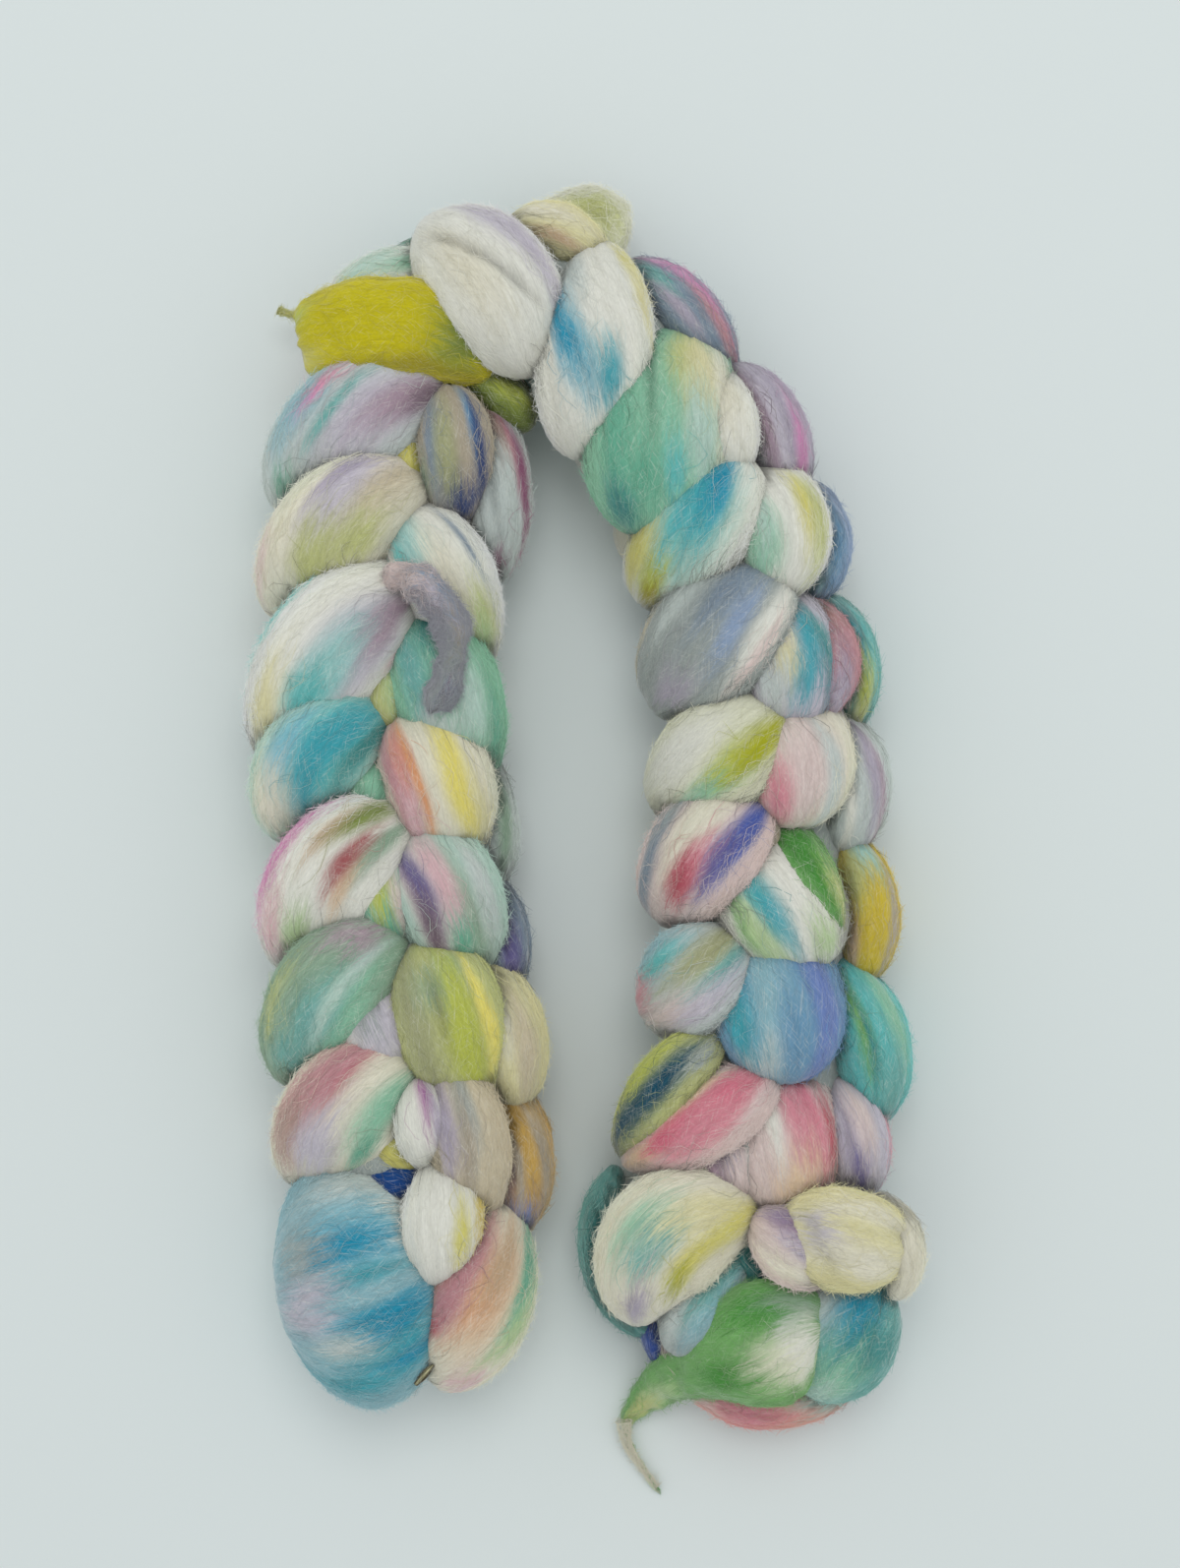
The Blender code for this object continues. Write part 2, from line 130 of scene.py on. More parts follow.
# Loose fibres: shortest and longest, how far they sway from the way of the wool (in radians),
# and least and greatest lift, in mm; and the share of each kind.
FIBRES = np.array(((5, 12, 0.12, 0.10, 0.45), (3, 8, 0.38, 0.3, 1.2), (2, 5.5, 0.9, 0.8, 2.6)))
FIBRE_SHARES = (0.34, 0.32, 0.34)
STANDING_SWAY = 0.3  # fibres that sway more than this stand up at one end
STANDING_CURVE, LYING_LIFT = 1.5, 0.4  # how one stands up, and how far the ends of others lift
FIBRE_BEND = 0.32  # how far its middle bows out, as a share of its length
FIBRE_HALF_WIDTH, FIBRE_TAPER = (0.03, 0.075), 0.7  # least and most in mm, and share lost at the tip
FIBRE_STEPS = 4
FIBRE_FACES_UP = np.array((0.0, 0.0, 2.0))  # turns the flat of a fibre towards the sky
# painted light: loose fibres are whitened to stand in for the light their thin fibres let through
FIBRE_PAINTED_LIGHT = 0.16  # up to this share of white in a loose fibre
LEAST_GIRTH = 3  # mm round the thinnest wool that fibres bend on
SHORT_OF_END = 0.001  # rings that a fibre stays short of the last one
FUZZ_COUNT = 12500  # loose fibres on a piece of the braid
# More fibres round the outline and on the fluffiest wool, few where hidden.
OUTLINE_FUZZ, OUTLINE_POWER, HIDDEN_FUZZ = 14.0, 8, 0.03
FLUFF = {"l1_blue": 2.2, "yellow_end_wisp": 12.0, "green_tail_wisp": 4.0}

# Fibre coordinates of pieces of wool: how far apart they start, in mm. Bake coordinates: the
# gap between shelves, the room to spare on them and the margin of a fibre's cell.
FIBRE_SPREAD, FIBRE_STRIDE = 900, 137.0
SHELF_GAP, SHELF_SPARE, CELL_MARGIN = 1, 1.08, 0.1

# The material of wool. Each noise is drawn out along the fibres: length and width of its
# patches in mm, its detail, its darkest and lightest shade, and the strength and depth (in
# metres) of its bump. The first one also mixes the two dyes of a streak.
WOOL_SURFACE = {"Roughness": 0.9, "Sheen Weight": 0.75, "Sheen Roughness": 0.35,
                "Specular IOR Level": 0.2}
NOISES = ((6, 0.45, 4, 0.90, 1.08, 0.27, 0.0009), (22, 2.0, 3, 0.95, 1.05, 0.3, 0.0012),
          (1.1, 0.5, 2, 0.93, 1.07, 0.2, 0.0007))
NOISE_ROUGHNESS, NOISE_RANGE, STREAK_RANGE = 0.6, (0.3, 0.7), (0.38, 0.62)
# Fine hairs that cross the wool, in its colour alone: the angle to its fibres in degrees,
# length and width in mm, and share of white.
HAIRS = ((28, 5.0, 0.30, 0.24), (-36, 4.0, 0.28, 0.22), (75, 3.5, 0.30, 0.14))
HAIR_RANGE, HAIR_DETAIL, HAIR_CURL, END_HAIRINESS = (0.60, 0.72), 1.0, 0.6, 0.5

# Floor, light and camera, in metres and watts. A lamp has its name, place, size and power.
FLOOR_SIZE = 4.0
FLOOR_SURFACE = {"Roughness": 0.9, "Specular IOR Level": 0.1}
CAMERA_HEIGHT, SCALE_HEIGHT = 0.72, 0.03  # the eye, and the plane that the tables' scale is for
FRAME_WIDTH = 0.336  # of that plane that the picture takes in
SENSOR_WIDTH = 36  # of the camera, in mm
SKY_COLOUR, SKY_STRENGTH = (0.95, 0.98, 1.0, 1), 0.70
LIGHTS = (("overhead", (0.1, 0.9, 1.9), 1.3, 10.0),)

# The pieces of the braid, and how the names of their lobes start.
PIECES = (
    ("left_leg_end_wool", ("l1_", "l2_", "l3_")),
    ("left_leg_wool", ("l4_", "l5_", "l6_", "l7_", "l8_")),
    ("bend_wool", ("t1_", "t2_", "t3_", "r1_", "r2_")),
    ("right_leg_wool", ("r3_", "r4_", "r5_", "r6_")),
    ("right_leg_end_wool", ("r7_", "r8_", "r9_")),
)

# How each kind of lobe runs: thickness over width; how far the centreline falls from its
# middle to its first and last end, in mm; how those ends close (0.5 is round, 1 is pointed,
# under 0.5 is blunt); where along it the lobe is widest; and roll, in degrees, which lifts
# one edge onto the lobe beside it.
KINDS = {
    "left_over_above": (0.66, 18, 5, 0.32, 0.46, 0.50, 18),
    "left_over_below": (0.66, 18, 5, 0.36, 0.44, 0.52, -20),
    "right_over_above": (0.80, 6, 18, 0.50, 0.40, 0.45, 0),
    "right_over_below": (0.80, 18, 5, 0.40, 0.50, 0.55, 0),
    "bend": (0.86, 13, 8, 0.55, 0.45, 0.52, 0),
    "back": (1.35, 5, 6, 0.50, 0.50, 0.50, 0),
    "tuck": (1.00, 5, 5, 0.50, 0.50, 0.50, 0),
    "end": (0.60, 6, 6, 0.50, 0.50, 0.50, 0),
    "under": (UNDER_HEIGHT / UNDER_WIDTH, -3, -3, 0.40, 0.40, 0.50, 0),
}

# The lobes: name, kind, x and y of the first end and of the last, how far the middle bows to
# the left of the way it runs, width, and height of the top above the table.
LOBES = (
    # the left leg, from its end upwards
    ("l1_blue", "end", -88, -146, -43, -138, 0, 73, 46),
    ("l1_egg", "bend", -39, -104, -45, -141, 0, 24, 46),
    ("l1_fan", "bend", -32, -114, -44, -172, 7, 31, 42),
    ("l2_rose", "left_over_above", -79, -115, -49, -79, 6, 37, 44),
    ("l2_shell", "right_over_above", -48, -84, -46, -111, 0, 16, 45),
    ("l2_sand", "right_over_above", -41, -79, -33, -126, 3, 23, 45),
    ("l2_amber", "back", -27, -84, -23, -131, 5, 19, 34),
    ("l2_lemon", "tuck", -62, -98, -46, -106, 0, 18, 38),
    ("l2_navy", "tuck", -64, -110, -46, -114, 0, 18, 36),
    ("l3_green", "left_over_above", -81, -86, -52, -43, 8, 34, 46),
    ("l3_lilac", "right_over_above", -65, -55, -54, -87, 0, 24, 42),
    ("l3_lime", "right_over_above", -48, -45, -37, -95, 3, 33, 47),
    ("l3_cream", "back", -34, -50, -23, -94, 5, 22, 39),
    ("l4_rose", "left_over_above", -82, -53, -50, -11, 8, 36, 47),
    ("l4_pale", "right_over_above", -56, -18, -60, -50, 0, 22, 42),
    ("l4_violet", "right_over_above", -49, -14, -36, -56, 3, 31, 46),
    ("l4_slate", "back", -30, -26, -26, -65, 3, 15, 31),
    ("l5_aqua", "left_over_above", -85, -15, -57, 20, 8, 32, 45),
    ("l5_mint", "tuck", -60, 7, -64, -13, 0, 18, 40),
    ("l5_coral", "right_over_above", -52, 20, -40, -24, 3, 32, 46),
    ("l5_mist", "back", -36, 13, -30, -32, 4, 17, 31),
    ("l6_white", "left_over_above", -84, 5, -49, 56, 9, 39, 48),
    ("l6_lime", "tuck", -55, 36, -59, 16, 0, 18, 40),
    ("l6_teal", "right_over_above", -51, 47, -37, -2, 4, 31, 45),
    ("l7_cream", "left_over_above", -86, 48, -46, 84, 8, 34, 47),
    ("l7_white", "right_over_above", -53, 77, -35, 32, 4, 28, 45),
    ("l8_mauve", "left_over_above", -84, 78, -40, 111, 8, 37, 46),
    ("l8_lemon", "tuck", -53, 104, -53, 82, 0, 18, 40),
    ("l8_beige", "right_over_above", -41, 112, -41, 72, 3, 21, 45),
    ("l8_plum", "back", -34, 114, -30, 57, 6, 19, 37),
    # the bend
    ("t1_pale", "end", -75, 126, -40, 145, 4, 24, 37),
    ("t1_olive", "tuck", -38, 120, -17, 103, 0, 17, 34),
    ("t1_teal", "tuck", -57, 149, -44, 154, 0, 12, 26),
    ("t2_white", "bend", -49, 158, -16, 117, 5, 37, 52),
    ("t2_cream", "tuck", -24, 158, 3, 150, 3, 17, 38),
    ("t3_cyan", "bend", 3, 155, -4, 93, 2, 33, 50),
    ("t3_pink", "back", 9, 149, 39, 113, 4, 21, 36),
    # the right leg, from the bend downwards
    ("r1_green", "right_over_below", 28, 131, 15, 71, -1, 44, 50),
    ("r1_white", "right_over_below", 36, 120, 40, 86, 0, 19, 44),
    ("r1_mauve", "back", 38, 120, 57, 80, 4, 22, 38),
    ("r2_aqua", "left_over_below", 15, 54, 43, 92, 0, 34, 47),
    ("r2_white", "right_over_below", 46, 91, 50, 54, 6, 27, 46),
    ("r2_blue", "back", 60, 87, 61, 51, 7, 15, 35),
    ("r3_slate", "left_over_below", 19, 24, 52, 60, 0, 39, 48),
    ("r3_swirl", "right_over_below", 51, 57, 53, 15, 5, 26, 46),
    ("r3_rim", "right_over_below", 60, 54, 63, 18, 7, 14, 42),
    ("r3_jade", "back", 66, 54, 72, 14, 6, 18, 35),
    ("r4_ivory", "left_over_below", 19, -5, 54, 21, 0, 33, 47),
    ("r4_blush", "right_over_below", 60, 26, 52, -10, 4, 31, 47),
    ("r4_haze", "back", 66, 20, 71, -20, 6, 24, 38),
    ("r5_royal", "left_over_below", 20, -38, 48, -4, 3, 32, 47),
    ("r5_milk", "right_over_below", 43, -13, 60, -54, 2, 36, 47),
    ("r5_leaf", "right_over_below", 50, -6, 67, -47, 2, 17, 45),
    ("r5_gold", "back", 73, -14, 77, -58, 5, 18, 36),
    ("r5_tan", "tuck", 47, -6, 50, -22, 0, 11, 41),
    ("r6_sage", "left_over_below", 18, -67, 40, -43, 0, 31, 45),
    ("r6_blue", "right_over_below", 52, -41, 51, -83, 2, 38, 48),
    ("r6_teal", "back", 68, -50, 82, -98, 5, 23, 38),
    ("r7_olive", "left_over_below", 11, -109, 38, -69, 5, 19, 43),
    ("r7_rose", "left_over_below", 10, -108, 52, -82, 0, 23, 46),
    ("r7_veil", "right_over_below", 47, -82, 36, -120, 0, 25, 41),
    ("r7_shell", "right_over_below", 54, -77, 52, -122, 2, 33, 43),
    ("r7_lilac", "back", 71, -85, 75, -119, 3, 20, 39),
    # the end of the right leg, curled round on itself
    ("r8_ivory", "bend", 14, -155, 48, -120, 13, 35, 50),
    ("r8_teal", "back", 8, -112, 20, -162, -9, 16, 24),
    ("r8_mauve", "end", 46, -122, 69, -138, 0, 21, 48),
    ("r8_butter", "end", 52, -125, 90, -130, 0, 29, 51),
    ("r8_fold", "tuck", 81, -116, 86, -146, 5, 12, 44),
    ("r9_deep", "tuck", 41, -124, 49, -144, 0, 18, 36),
    ("r9_grey", "bend", 46, -127, 26, -163, -3, 23, 40),
    ("r9_navy", "tuck", 20, -147, 24, -172, -2, 11, 18),
    ("r9_pearl", "tuck", 30, -150, 29, -174, 0, 18, 26),
    ("r9_sea", "end", 54, -154, 88, -157, 0, 44, 38),
    ("r9_coral", "tuck", 79, -171, 29, -176, 5, 17, 24),
    ("r9_nest", "end", 34, -158, 66, -160, 0, 34, 33),
)

# The braid's spine: x, y of the middle of the chain, from the left end to the right end.
SPINE = (
    (-62, -152), (-60, -110), (-60, -70), (-60, -20), (-62, 30), (-62, 75), (-58, 112),
    (-40, 134), (-14, 138), (8, 124), (24, 97), (37, 66), (46, 34), (51, 0), (53, -40),
    (52, -80), (50, -118), (50, -150),
)

# Loose ends: x, y, height of the centreline, width and thickness, a row for each section.
TONGUES = {
  # the yellow end, laid over the top left of the braid and under the white lobe
    "yellow_end": (
        (-80.5, 125, 36, 15, 5), (-78, 125.5, 37, 21, 9), (-69, 127, 40, 26, 13),
        (-58, 128, 41, 28, 14), (-47, 127, 40, 27, 14), (-37, 123, 36, 20, 13),
        (-29, 120, 30, 13, 9),
    ),
  # the green end that comes out of the curl and tapers to a wisp on the table
    "green_tail": (
        (66, -153, 31, 10, 6), (60, -153, 36, 25, 9), (52, -156, 38, 34, 11),
        (43, -161, 37, 33, 11), (34, -166, 30, 21, 9), (25, -172, 17, 14, 7),
        (17, -180, 6, 10, 5), (11.5, -187, 2.5, 5, 3.5), (10.5, -192, 1.5, 2.6, 2.4),
        (13.5, -199, 1.5, 2.2, 2.2), (17.5, -206, 1.5, 2.2, 2.2), (19, -208, 1.5, 1.6, 1.6),
    ),
  # the pale green tuft that shows past the bend
    "pale_tuft": (
        (6, 154, 20, 8, 6), (5, 159, 19, 14, 9), (2, 164, 17, 17, 9),
        (-4, 167, 15, 13, 8), (-10, 167, 14, 8, 6), (-14, 166, 14, 4, 3),
    ),
  # the lilac lock that lies in a hook on the left leg
    "lilac_lock": (
        (-56, 57, 41, 4, 4), (-51, 57.5, 46, 7, 6), (-44, 53, 49, 9, 7),
        (-38.5, 45, 48, 9.5, 7), (-37.5, 37, 47, 8, 7), (-40, 29, 48, 7.5, 7),
        (-42.5, 22, 47, 6, 5),
    ),
}

# Colours of the dyed wool and of the floor.
COLOURS = {
    "floor": (227, 234, 232),
    "white": (238, 237, 225), "cream": (235, 230, 208), "ivory": (227, 227, 200),
    "butter": (229, 222, 172), "blush": (228, 208, 202), "mist": (202, 211, 206), "grey": (164, 172, 168),
    "slate": (132, 148, 164), "dusk": (148, 168, 196), "pale_lilac": (204, 197, 208),
    "lilac": (182, 172, 188), "mauve": (176, 150, 164), "heather": (156, 156, 166),
    "dark_mauve": (124, 104, 116), "violet": (112, 104, 156), "orchid": (176, 112, 166),
    "plum": (150, 78, 116), "magenta": (212, 140, 184), "pale_pink": (228, 188, 192),
    "pink": (224, 146, 158), "hot_pink": (222, 108, 132), "rose": (198, 142, 148),
    "crimson": (190, 80, 96), "brick": (170, 90, 92), "salmon": (224, 154, 140),
    "orange": (228, 160, 112), "peach": (230, 200, 166), "tan": (198, 170, 138), "taupe": (182, 170, 150),
    "umber": (182, 152, 140), "bark": (70, 66, 44), "beige": (212, 199, 170), "ochre": (206, 168, 92),
    "gold": (216, 192, 62), "yellow": (206, 194, 26), "dark_yellow": (172, 160, 40),
    "lemon": (222, 214, 116), "sun": (240, 226, 116), "lime": (194, 202, 88), "moss": (198, 202, 134),
    "pale_moss": (232, 235, 190), "acid": (176, 178, 28), "khaki": (172, 174, 130),
    "olive": (126, 142, 66), "leaf": (76, 148, 62), "green": (122, 178, 104),
    "pale_green": (188, 212, 158), "sage": (148, 176, 150), "pale_mint": (188, 216, 202),
    "mint": (146, 202, 170), "jade": (108, 182, 152), "soft_teal": (118, 182, 174),
    "teal": (70, 146, 142), "deep_teal": (6, 76, 100), "pale_aqua": (164, 212, 206),
    "aqua": (104, 196, 192), "turquoise": (66, 170, 182), "cyan": (28, 150, 182), "sky": (124, 190, 206),
    "wash": (152, 194, 202), "steel": (112, 158, 190), "royal": (62, 92, 174), "navy": (34, 62, 120),
    "ink": (26, 74, 140), "periwinkle": (116, 138, 196),
}

# Dye on each length of wool: the way of its fibres, in degrees from +x (None is lengthways),
# its ground colour, then patches of other colours in the order they went on. A patch has
# its place, and its half length along and across the fibres.
DYES = {
    "plain": (None, "white"),
    "core": (None, "grey"),
    # the left leg, from its end upwards
    "l1_blue": (20, "wash",
        ("sky", -70, -128, 12, 7), ("cyan", -68, -129, 8, 4), ("turquoise", -66, -140, 10, 3),
        ("turquoise", -57, -156, 11, 12), ("cyan", -54, -149, 8, 5), ("cyan", -51, -161, 5, 4),
        ("turquoise", -66, -170, 10, 4), ("mist", -64, -111, 13, 5), ("white", -50, -124, 4, 13),
        ("grey", -83, -133, 4, 9), ("pale_lilac", -80, -148, 6, 8), ("mist", -67, -159, 5, 3),
        ("wash", -62, -142, 10, 2.5), ("white", -58, -178, 14, 2.5)),
    "l1_egg": (98, "white", ("gold", -31, -121, 6, 3), ("lemon", -36, -127, 7, 2.5)),
    "l1_fan": (52, "cream",
        ("peach", -32, -142, 16, 11), ("salmon", -39, -140, 11, 5), ("rose", -33, -132, 13, 4),
        ("rose", -42, -147, 7, 6), ("crimson", -45, -153, 3, 3), ("orange", -29, -142, 9, 3),
        ("tan", -25, -137, 10, 3), ("jade", -18, -141, 14, 3), ("pale_green", -22, -155, 8, 3),
        ("pale_pink", -36, -171, 4, 8)),
    "l2_rose": (55, "cream",
        ("rose", -81, -90, 14, 7), ("umber", -86, -100, 8, 5), ("crimson", -67, -79, 5, 2),
        ("rose", -70, -79, 8, 4), ("mint", -56, -90, 12, 4), ("jade", -64, -104, 6, 3),
        ("pale_lilac", -78, -103, 8, 5)),
    "l2_shell": (105, "white", ("orchid", -46, -86, 6, 2), ("lilac", -42, -98, 9, 2)),
    "l2_sand": (97, "beige",
        ("lilac", -40, -97, 14, 3), ("grey", -35, -90, 12, 2.5), ("taupe", -34, -104, 12, 2)),
    "l2_amber": (108, "ochre",
        ("mauve", -25, -102, 14, 3), ("violet", -26, -115, 6, 3), ("taupe", -13, -106, 13, 3),
        ("taupe", -20, -108, 12, 1.2), ("periwinkle", -19, -125, 6, 7)),
    "l2_lemon": (120, "lemon", ("moss", -56, -98, 5, 4)),
    "l2_navy": (None, "ink"),
    "l3_green": (58, "sage",
        ("mint", -70, -64, 14, 6), ("soft_teal", -78, -66, 9, 5), ("moss", -88, -60, 6, 2),
        ("pale_mint", -69, -56, 15, 2), ("mauve", -66, -43, 4, 7), ("soft_teal", -85, -78, 4, 6)),
    "l3_lilac": (115, "white", ("pale_lilac", -60, -66, 10, 8), ("grey", -63, -63, 4, 4)),
    "l3_lime": (105, "moss",
        ("khaki", -49, -64, 18, 5), ("sage", -41, -52, 4, 8), ("lime", -35, -68, 16, 4),
        ("lime", -32, -77, 8, 3), ("sun", -29, -64, 13, 2)),
    "l3_cream": (105, "butter", ("white", -27, -62, 9, 3), ("beige", -17, -76, 12, 4)),
    "l4_rose": (62, "white",
        ("magenta", -91, -24, 12, 4), ("magenta", -84, -15, 7, 3), ("pale_pink", -90, -41, 8, 4),
        ("tan", -71, -12, 7, 3), ("peach", -70, -29, 9, 2), ("olive", -62, -8, 7, 4),
        ("sage", -57, -16, 10, 3), ("brick", -66, -20, 8, 2.4), ("pale_green", -84, -43, 6, 4)),
    "l4_pale": (110, "pale_mint",
        ("lime", -59, -28, 6, 4), ("jade", -59, -43, 5, 8), ("blush", -53, -36, 8, 2)),
    "l4_violet": (112, "pale_mint",
        ("sage", -33, -38, 12, 5), ("blush", -48, -30, 16, 5), ("pale_pink", -41, -28, 13, 3),
        ("violet", -49, -26, 11, 3), ("dark_mauve", -44, -40, 10, 3), ("mist", -30, -28, 10, 4),
        ("jade", -35, -44, 6, 3)),
    "l4_slate": (100, "slate", ("violet", -22, -50, 10, 4)),
    "l5_aqua": (62, "pale_mint",
        ("aqua", -73, 10, 18, 11), ("turquoise", -72, 12, 15, 5), ("sky", -86, 10, 8, 4),
        ("teal", -62, 11, 12, 3), ("turquoise", -80, 2, 9, 3), ("cream", -92, -6, 9, 8),
        ("pale_mint", -95, 8, 10, 3)),
    "l5_mint": (None, "mint"),
    "l5_coral": (108, "cream",
        ("rose", -54, 2, 17, 5), ("salmon", -53, 10, 8, 3), ("orange", -47, -1, 15, 1.3),
        ("pale_pink", -50, -10, 8, 3), ("sun", -35, -3, 15, 4), ("butter", -30, -8, 9, 3)),
    "l5_mist": (100, "mist", ("sage", -24, -12, 12, 3)),
    "l6_white": (56, "white",
        ("pale_aqua", -94, 40, 14, 5), ("aqua", -91, 47, 8, 3), ("pale_lilac", -64, 40, 18, 8),
        ("mauve", -58, 46, 13, 4), ("pale_aqua", -74, 32, 14, 5), ("aqua", -80, 24, 8, 5),
        ("butter", -92, 22, 10, 5), ("pale_pink", -55, 36, 5, 2)),
    "l6_lime": (110, "moss", ("pale_green", -56, 30, 5, 3)),
    "l6_teal": (100, "mint",
        # the teal patch at -44, 44 is painted shadow under the lilac lock
        ("soft_teal", -50, 32, 12, 5), ("teal", -44, 44, 5, 5), ("pale_mint", -33, 24, 11, 4),
        ("jade", -27, 14, 10, 3), ("mist", -42, 17, 4, 6)),
    "l7_cream": (60, "cream",
        ("beige", -57, 84, 12, 6), ("pale_lilac", -70, 82, 11, 4), ("violet", -66, 90, 3, 3),
        ("lilac", -69, 86, 7, 2), ("moss", -66, 68, 8, 5), ("moss", -77, 63, 9, 5),
        ("blush", -93, 62, 8, 3)),
    "l7_white": (115, "white",
        ("pale_aqua", -51, 68, 12, 5), ("aqua", -52, 63, 6, 2), ("slate", -36, 70, 8, 1.5),
        ("cream", -38, 56, 12, 4), ("moss", -29, 44, 8, 5), ("pale_green", -30, 40, 6, 4)),
    "l8_mauve": (54, "mist",
        ("pale_lilac", -62, 104, 16, 8), ("wash", -82, 107, 10, 6), ("soft_teal", -74, 104, 9, 1.6),
        ("pink", -73, 115, 2.5, 4), ("magenta", -78, 110, 4, 1.5), ("mauve", -51, 108, 12, 5),
        ("dark_mauve", -44, 109, 7, 4), ("jade", -87, 85, 3, 4)),
    "l8_lemon": (100, "lemon"),
    "l8_beige": (97, "taupe",
        ("slate", -45, 97, 13, 3), ("sage", -47, 86, 6, 4), ("steel", -33, 104, 8, 1.5),
        ("khaki", -40, 92, 12, 3), ("navy", -30, 93, 12, 2), ("navy", -36, 79, 5, 6)),
    "l8_plum": (105, "mist",
        ("umber", -28, 103, 8, 3), ("grey", -27, 84, 14, 1.5), ("rose", -23, 98, 10, 1.5),
        ("plum", -18, 84, 20, 2.6), ("plum", -27, 61, 4, 4)),
    # the bend
    "t1_pale": (None, "white", ("pale_mint", -66, 146, 8, 4), ("mint", -50, 149, 6, 3)),
    "t1_olive": (None, "olive", ("lime", -22, 112, 4, 3)),
    "t1_teal": (None, "jade"),
    "t2_white": (125, "white",
        ("pale_lilac", -26, 158, 12, 5), ("pale_lilac", -14, 146, 12, 3), ("cream", -34, 142, 12, 6)),
    "t2_cream": (160, "butter", ("tan", -11, 154, 7, 2), ("cream", -12, 162, 8, 3)),
    "t3_cyan": (110, "white",
        ("mist", -5, 146, 12, 5), ("lemon", 10, 149, 7, 4), ("butter", 13, 139, 9, 3),
        ("sky", -4, 122, 13, 4), ("cyan", -10, 131, 9, 2.6), ("cyan", -6, 121, 5, 2.6),
        ("turquoise", 5, 115, 7, 3.5), ("wash", 0, 112, 5, 3)),
    "t3_pink": (128, "slate",
        ("soft_teal", 19, 143, 5, 4), ("magenta", 29, 143, 15, 3), ("rose", 36, 131, 9, 3),
        ("lilac", 24, 135, 8, 2)),
    # the right leg, from the bend downwards
    "r1_green": (93, "mint",
        ("moss", 27, 122, 8, 6), ("butter", 33, 116, 12, 5), ("cream", 38, 108, 20, 5),
        ("jade", 7, 96, 16, 5), ("pale_mint", 31, 96, 10, 4), ("aqua", 24, 86, 6, 3),
        ("teal", 9, 77, 5, 6), ("jade", 15, 86, 7, 5)),
    "r1_white": (95, "white", ("cream", 38, 112, 9, 4)),
    "r1_mauve": (105, "lilac",
        ("mauve", 47, 106, 14, 4), ("grey", 46, 97, 8, 3), ("magenta", 60, 96, 10, 2.5),
        ("pale_lilac", 53, 100, 12, 1.5)),
    "r2_aqua": (66, "white",
        ("pale_mint", 25, 70, 16, 12), ("aqua", 28, 77, 13, 8), ("turquoise", 32, 81, 9, 5),
        ("cyan", 36, 84, 6, 3), ("lemon", 13, 66, 10, 5), ("lime", 17, 58, 6, 4),
        ("dark_yellow", 16, 53, 4, 4)),
    "r2_white": (103, "white",
        ("mint", 47, 64, 7, 7), ("pale_mint", 46, 78, 10, 3), ("lemon", 59, 82, 7, 2.5),
        ("moss", 65, 72, 8, 2.5)),
    "r2_blue": (105, "dusk", ("steel", 70, 72, 14, 4), ("pale_aqua", 64, 59, 4, 5)),
    "r3_slate": (60, "grey",
        ("slate", 40, 54, 12, 5), ("dusk", 42, 44, 9, 3), ("mist", 22, 48, 9, 3),
        ("white", 52, 45, 15, 4), ("beige", 14, 38, 11, 2.5), ("blush", 47, 36, 8, 2),
        ("lilac", 24, 27, 6, 5), ("grey", 30, 36, 8, 3)),
    "r3_swirl": (105, "pale_lilac",
        ("turquoise", 61, 43, 8, 4), ("teal", 66, 38, 8, 2.5), ("turquoise", 60, 31, 4, 3.5),
        ("butter", 54, 39, 4.5, 3), ("slate", 67, 27, 6, 3), ("mist", 51, 27, 7, 5)),
    "r3_rim": (112, "rose", ("tan", 61, 51, 9, 5), ("mauve", 73, 33, 8, 3), ("lilac", 70, 24, 7, 4)),
    "r3_jade": (105, "soft_teal",
        ("pale_aqua", 72, 50, 5, 5), ("turquoise", 76, 42, 8, 3), ("aqua", 80, 40, 8, 2),
        ("lime", 79, 26, 8, 4), ("khaki", 76, 18, 4, 6)),
    "r4_ivory": (46, "ivory",
        ("mint", 34, 0, 9, 3.5), ("lime", 40, 7, 6, 3.5), ("acid", 48, 13, 9, 4),
        ("white", 24, 8, 12, 6)),
    "r4_blush": (115, "cream",
        ("blush", 60, 5, 14, 8), ("pink", 52, -5, 8, 4), ("hot_pink", 46, 1, 6, 3),
        ("mist", 68, 2, 14, 2)),
    "r4_haze": (103, "mist",
        ("white", 74, -3, 14, 2), ("lilac", 80, 6, 14, 2.5), ("mauve", 83, -6, 12, 2)),
    "r5_royal": (60, "blush",
        ("grey", 22, -10, 9, 3), ("slate", 15, -26, 14, 3.5), ("cream", 28, -14, 14, 4),
        ("royal", 44, -11, 9, 4), ("royal", 40, -19, 7, 3.5), ("violet", 35, -23, 8, 3),
        ("pink", 29, -23, 7, 3), ("crimson", 25, -30, 6, 4)),
    "r5_milk": (128, "white",
        ("turquoise", 49, -33, 11, 3), ("aqua", 42, -27, 5, 5), ("green", 43, -38, 9, 3.5),
        ("pale_green", 50, -44, 9, 4), ("pale_green", 67, -45, 5, 4)),
    "r5_leaf": (122, "green", ("leaf", 58, -15, 8, 6), ("leaf", 64, -25, 9, 2), ("moss", 72, -34, 9, 3)),
    "r5_gold": (97, "gold",
        ("pale_aqua", 77, -19, 5, 6), ("moss", 75, -28, 6, 4), ("peach", 75, -47, 8, 3),
        ("taupe", 87, -38, 14, 2.5)),
    "r5_tan": (60, "beige"),
    "r6_sage": (40, "mist",
        ("wash", 18, -47, 9, 8), ("aqua", 17, -51, 7, 3), ("khaki", 33, -46, 10, 5),
        ("soft_teal", 34, -55, 10, 3), ("teal", 41, -49, 3, 2), ("pink", 14, -62, 6, 6),
        ("blush", 22, -66, 8, 4), ("pale_lilac", 32, -63, 9, 3)),
    "r6_blue": (112, "steel",
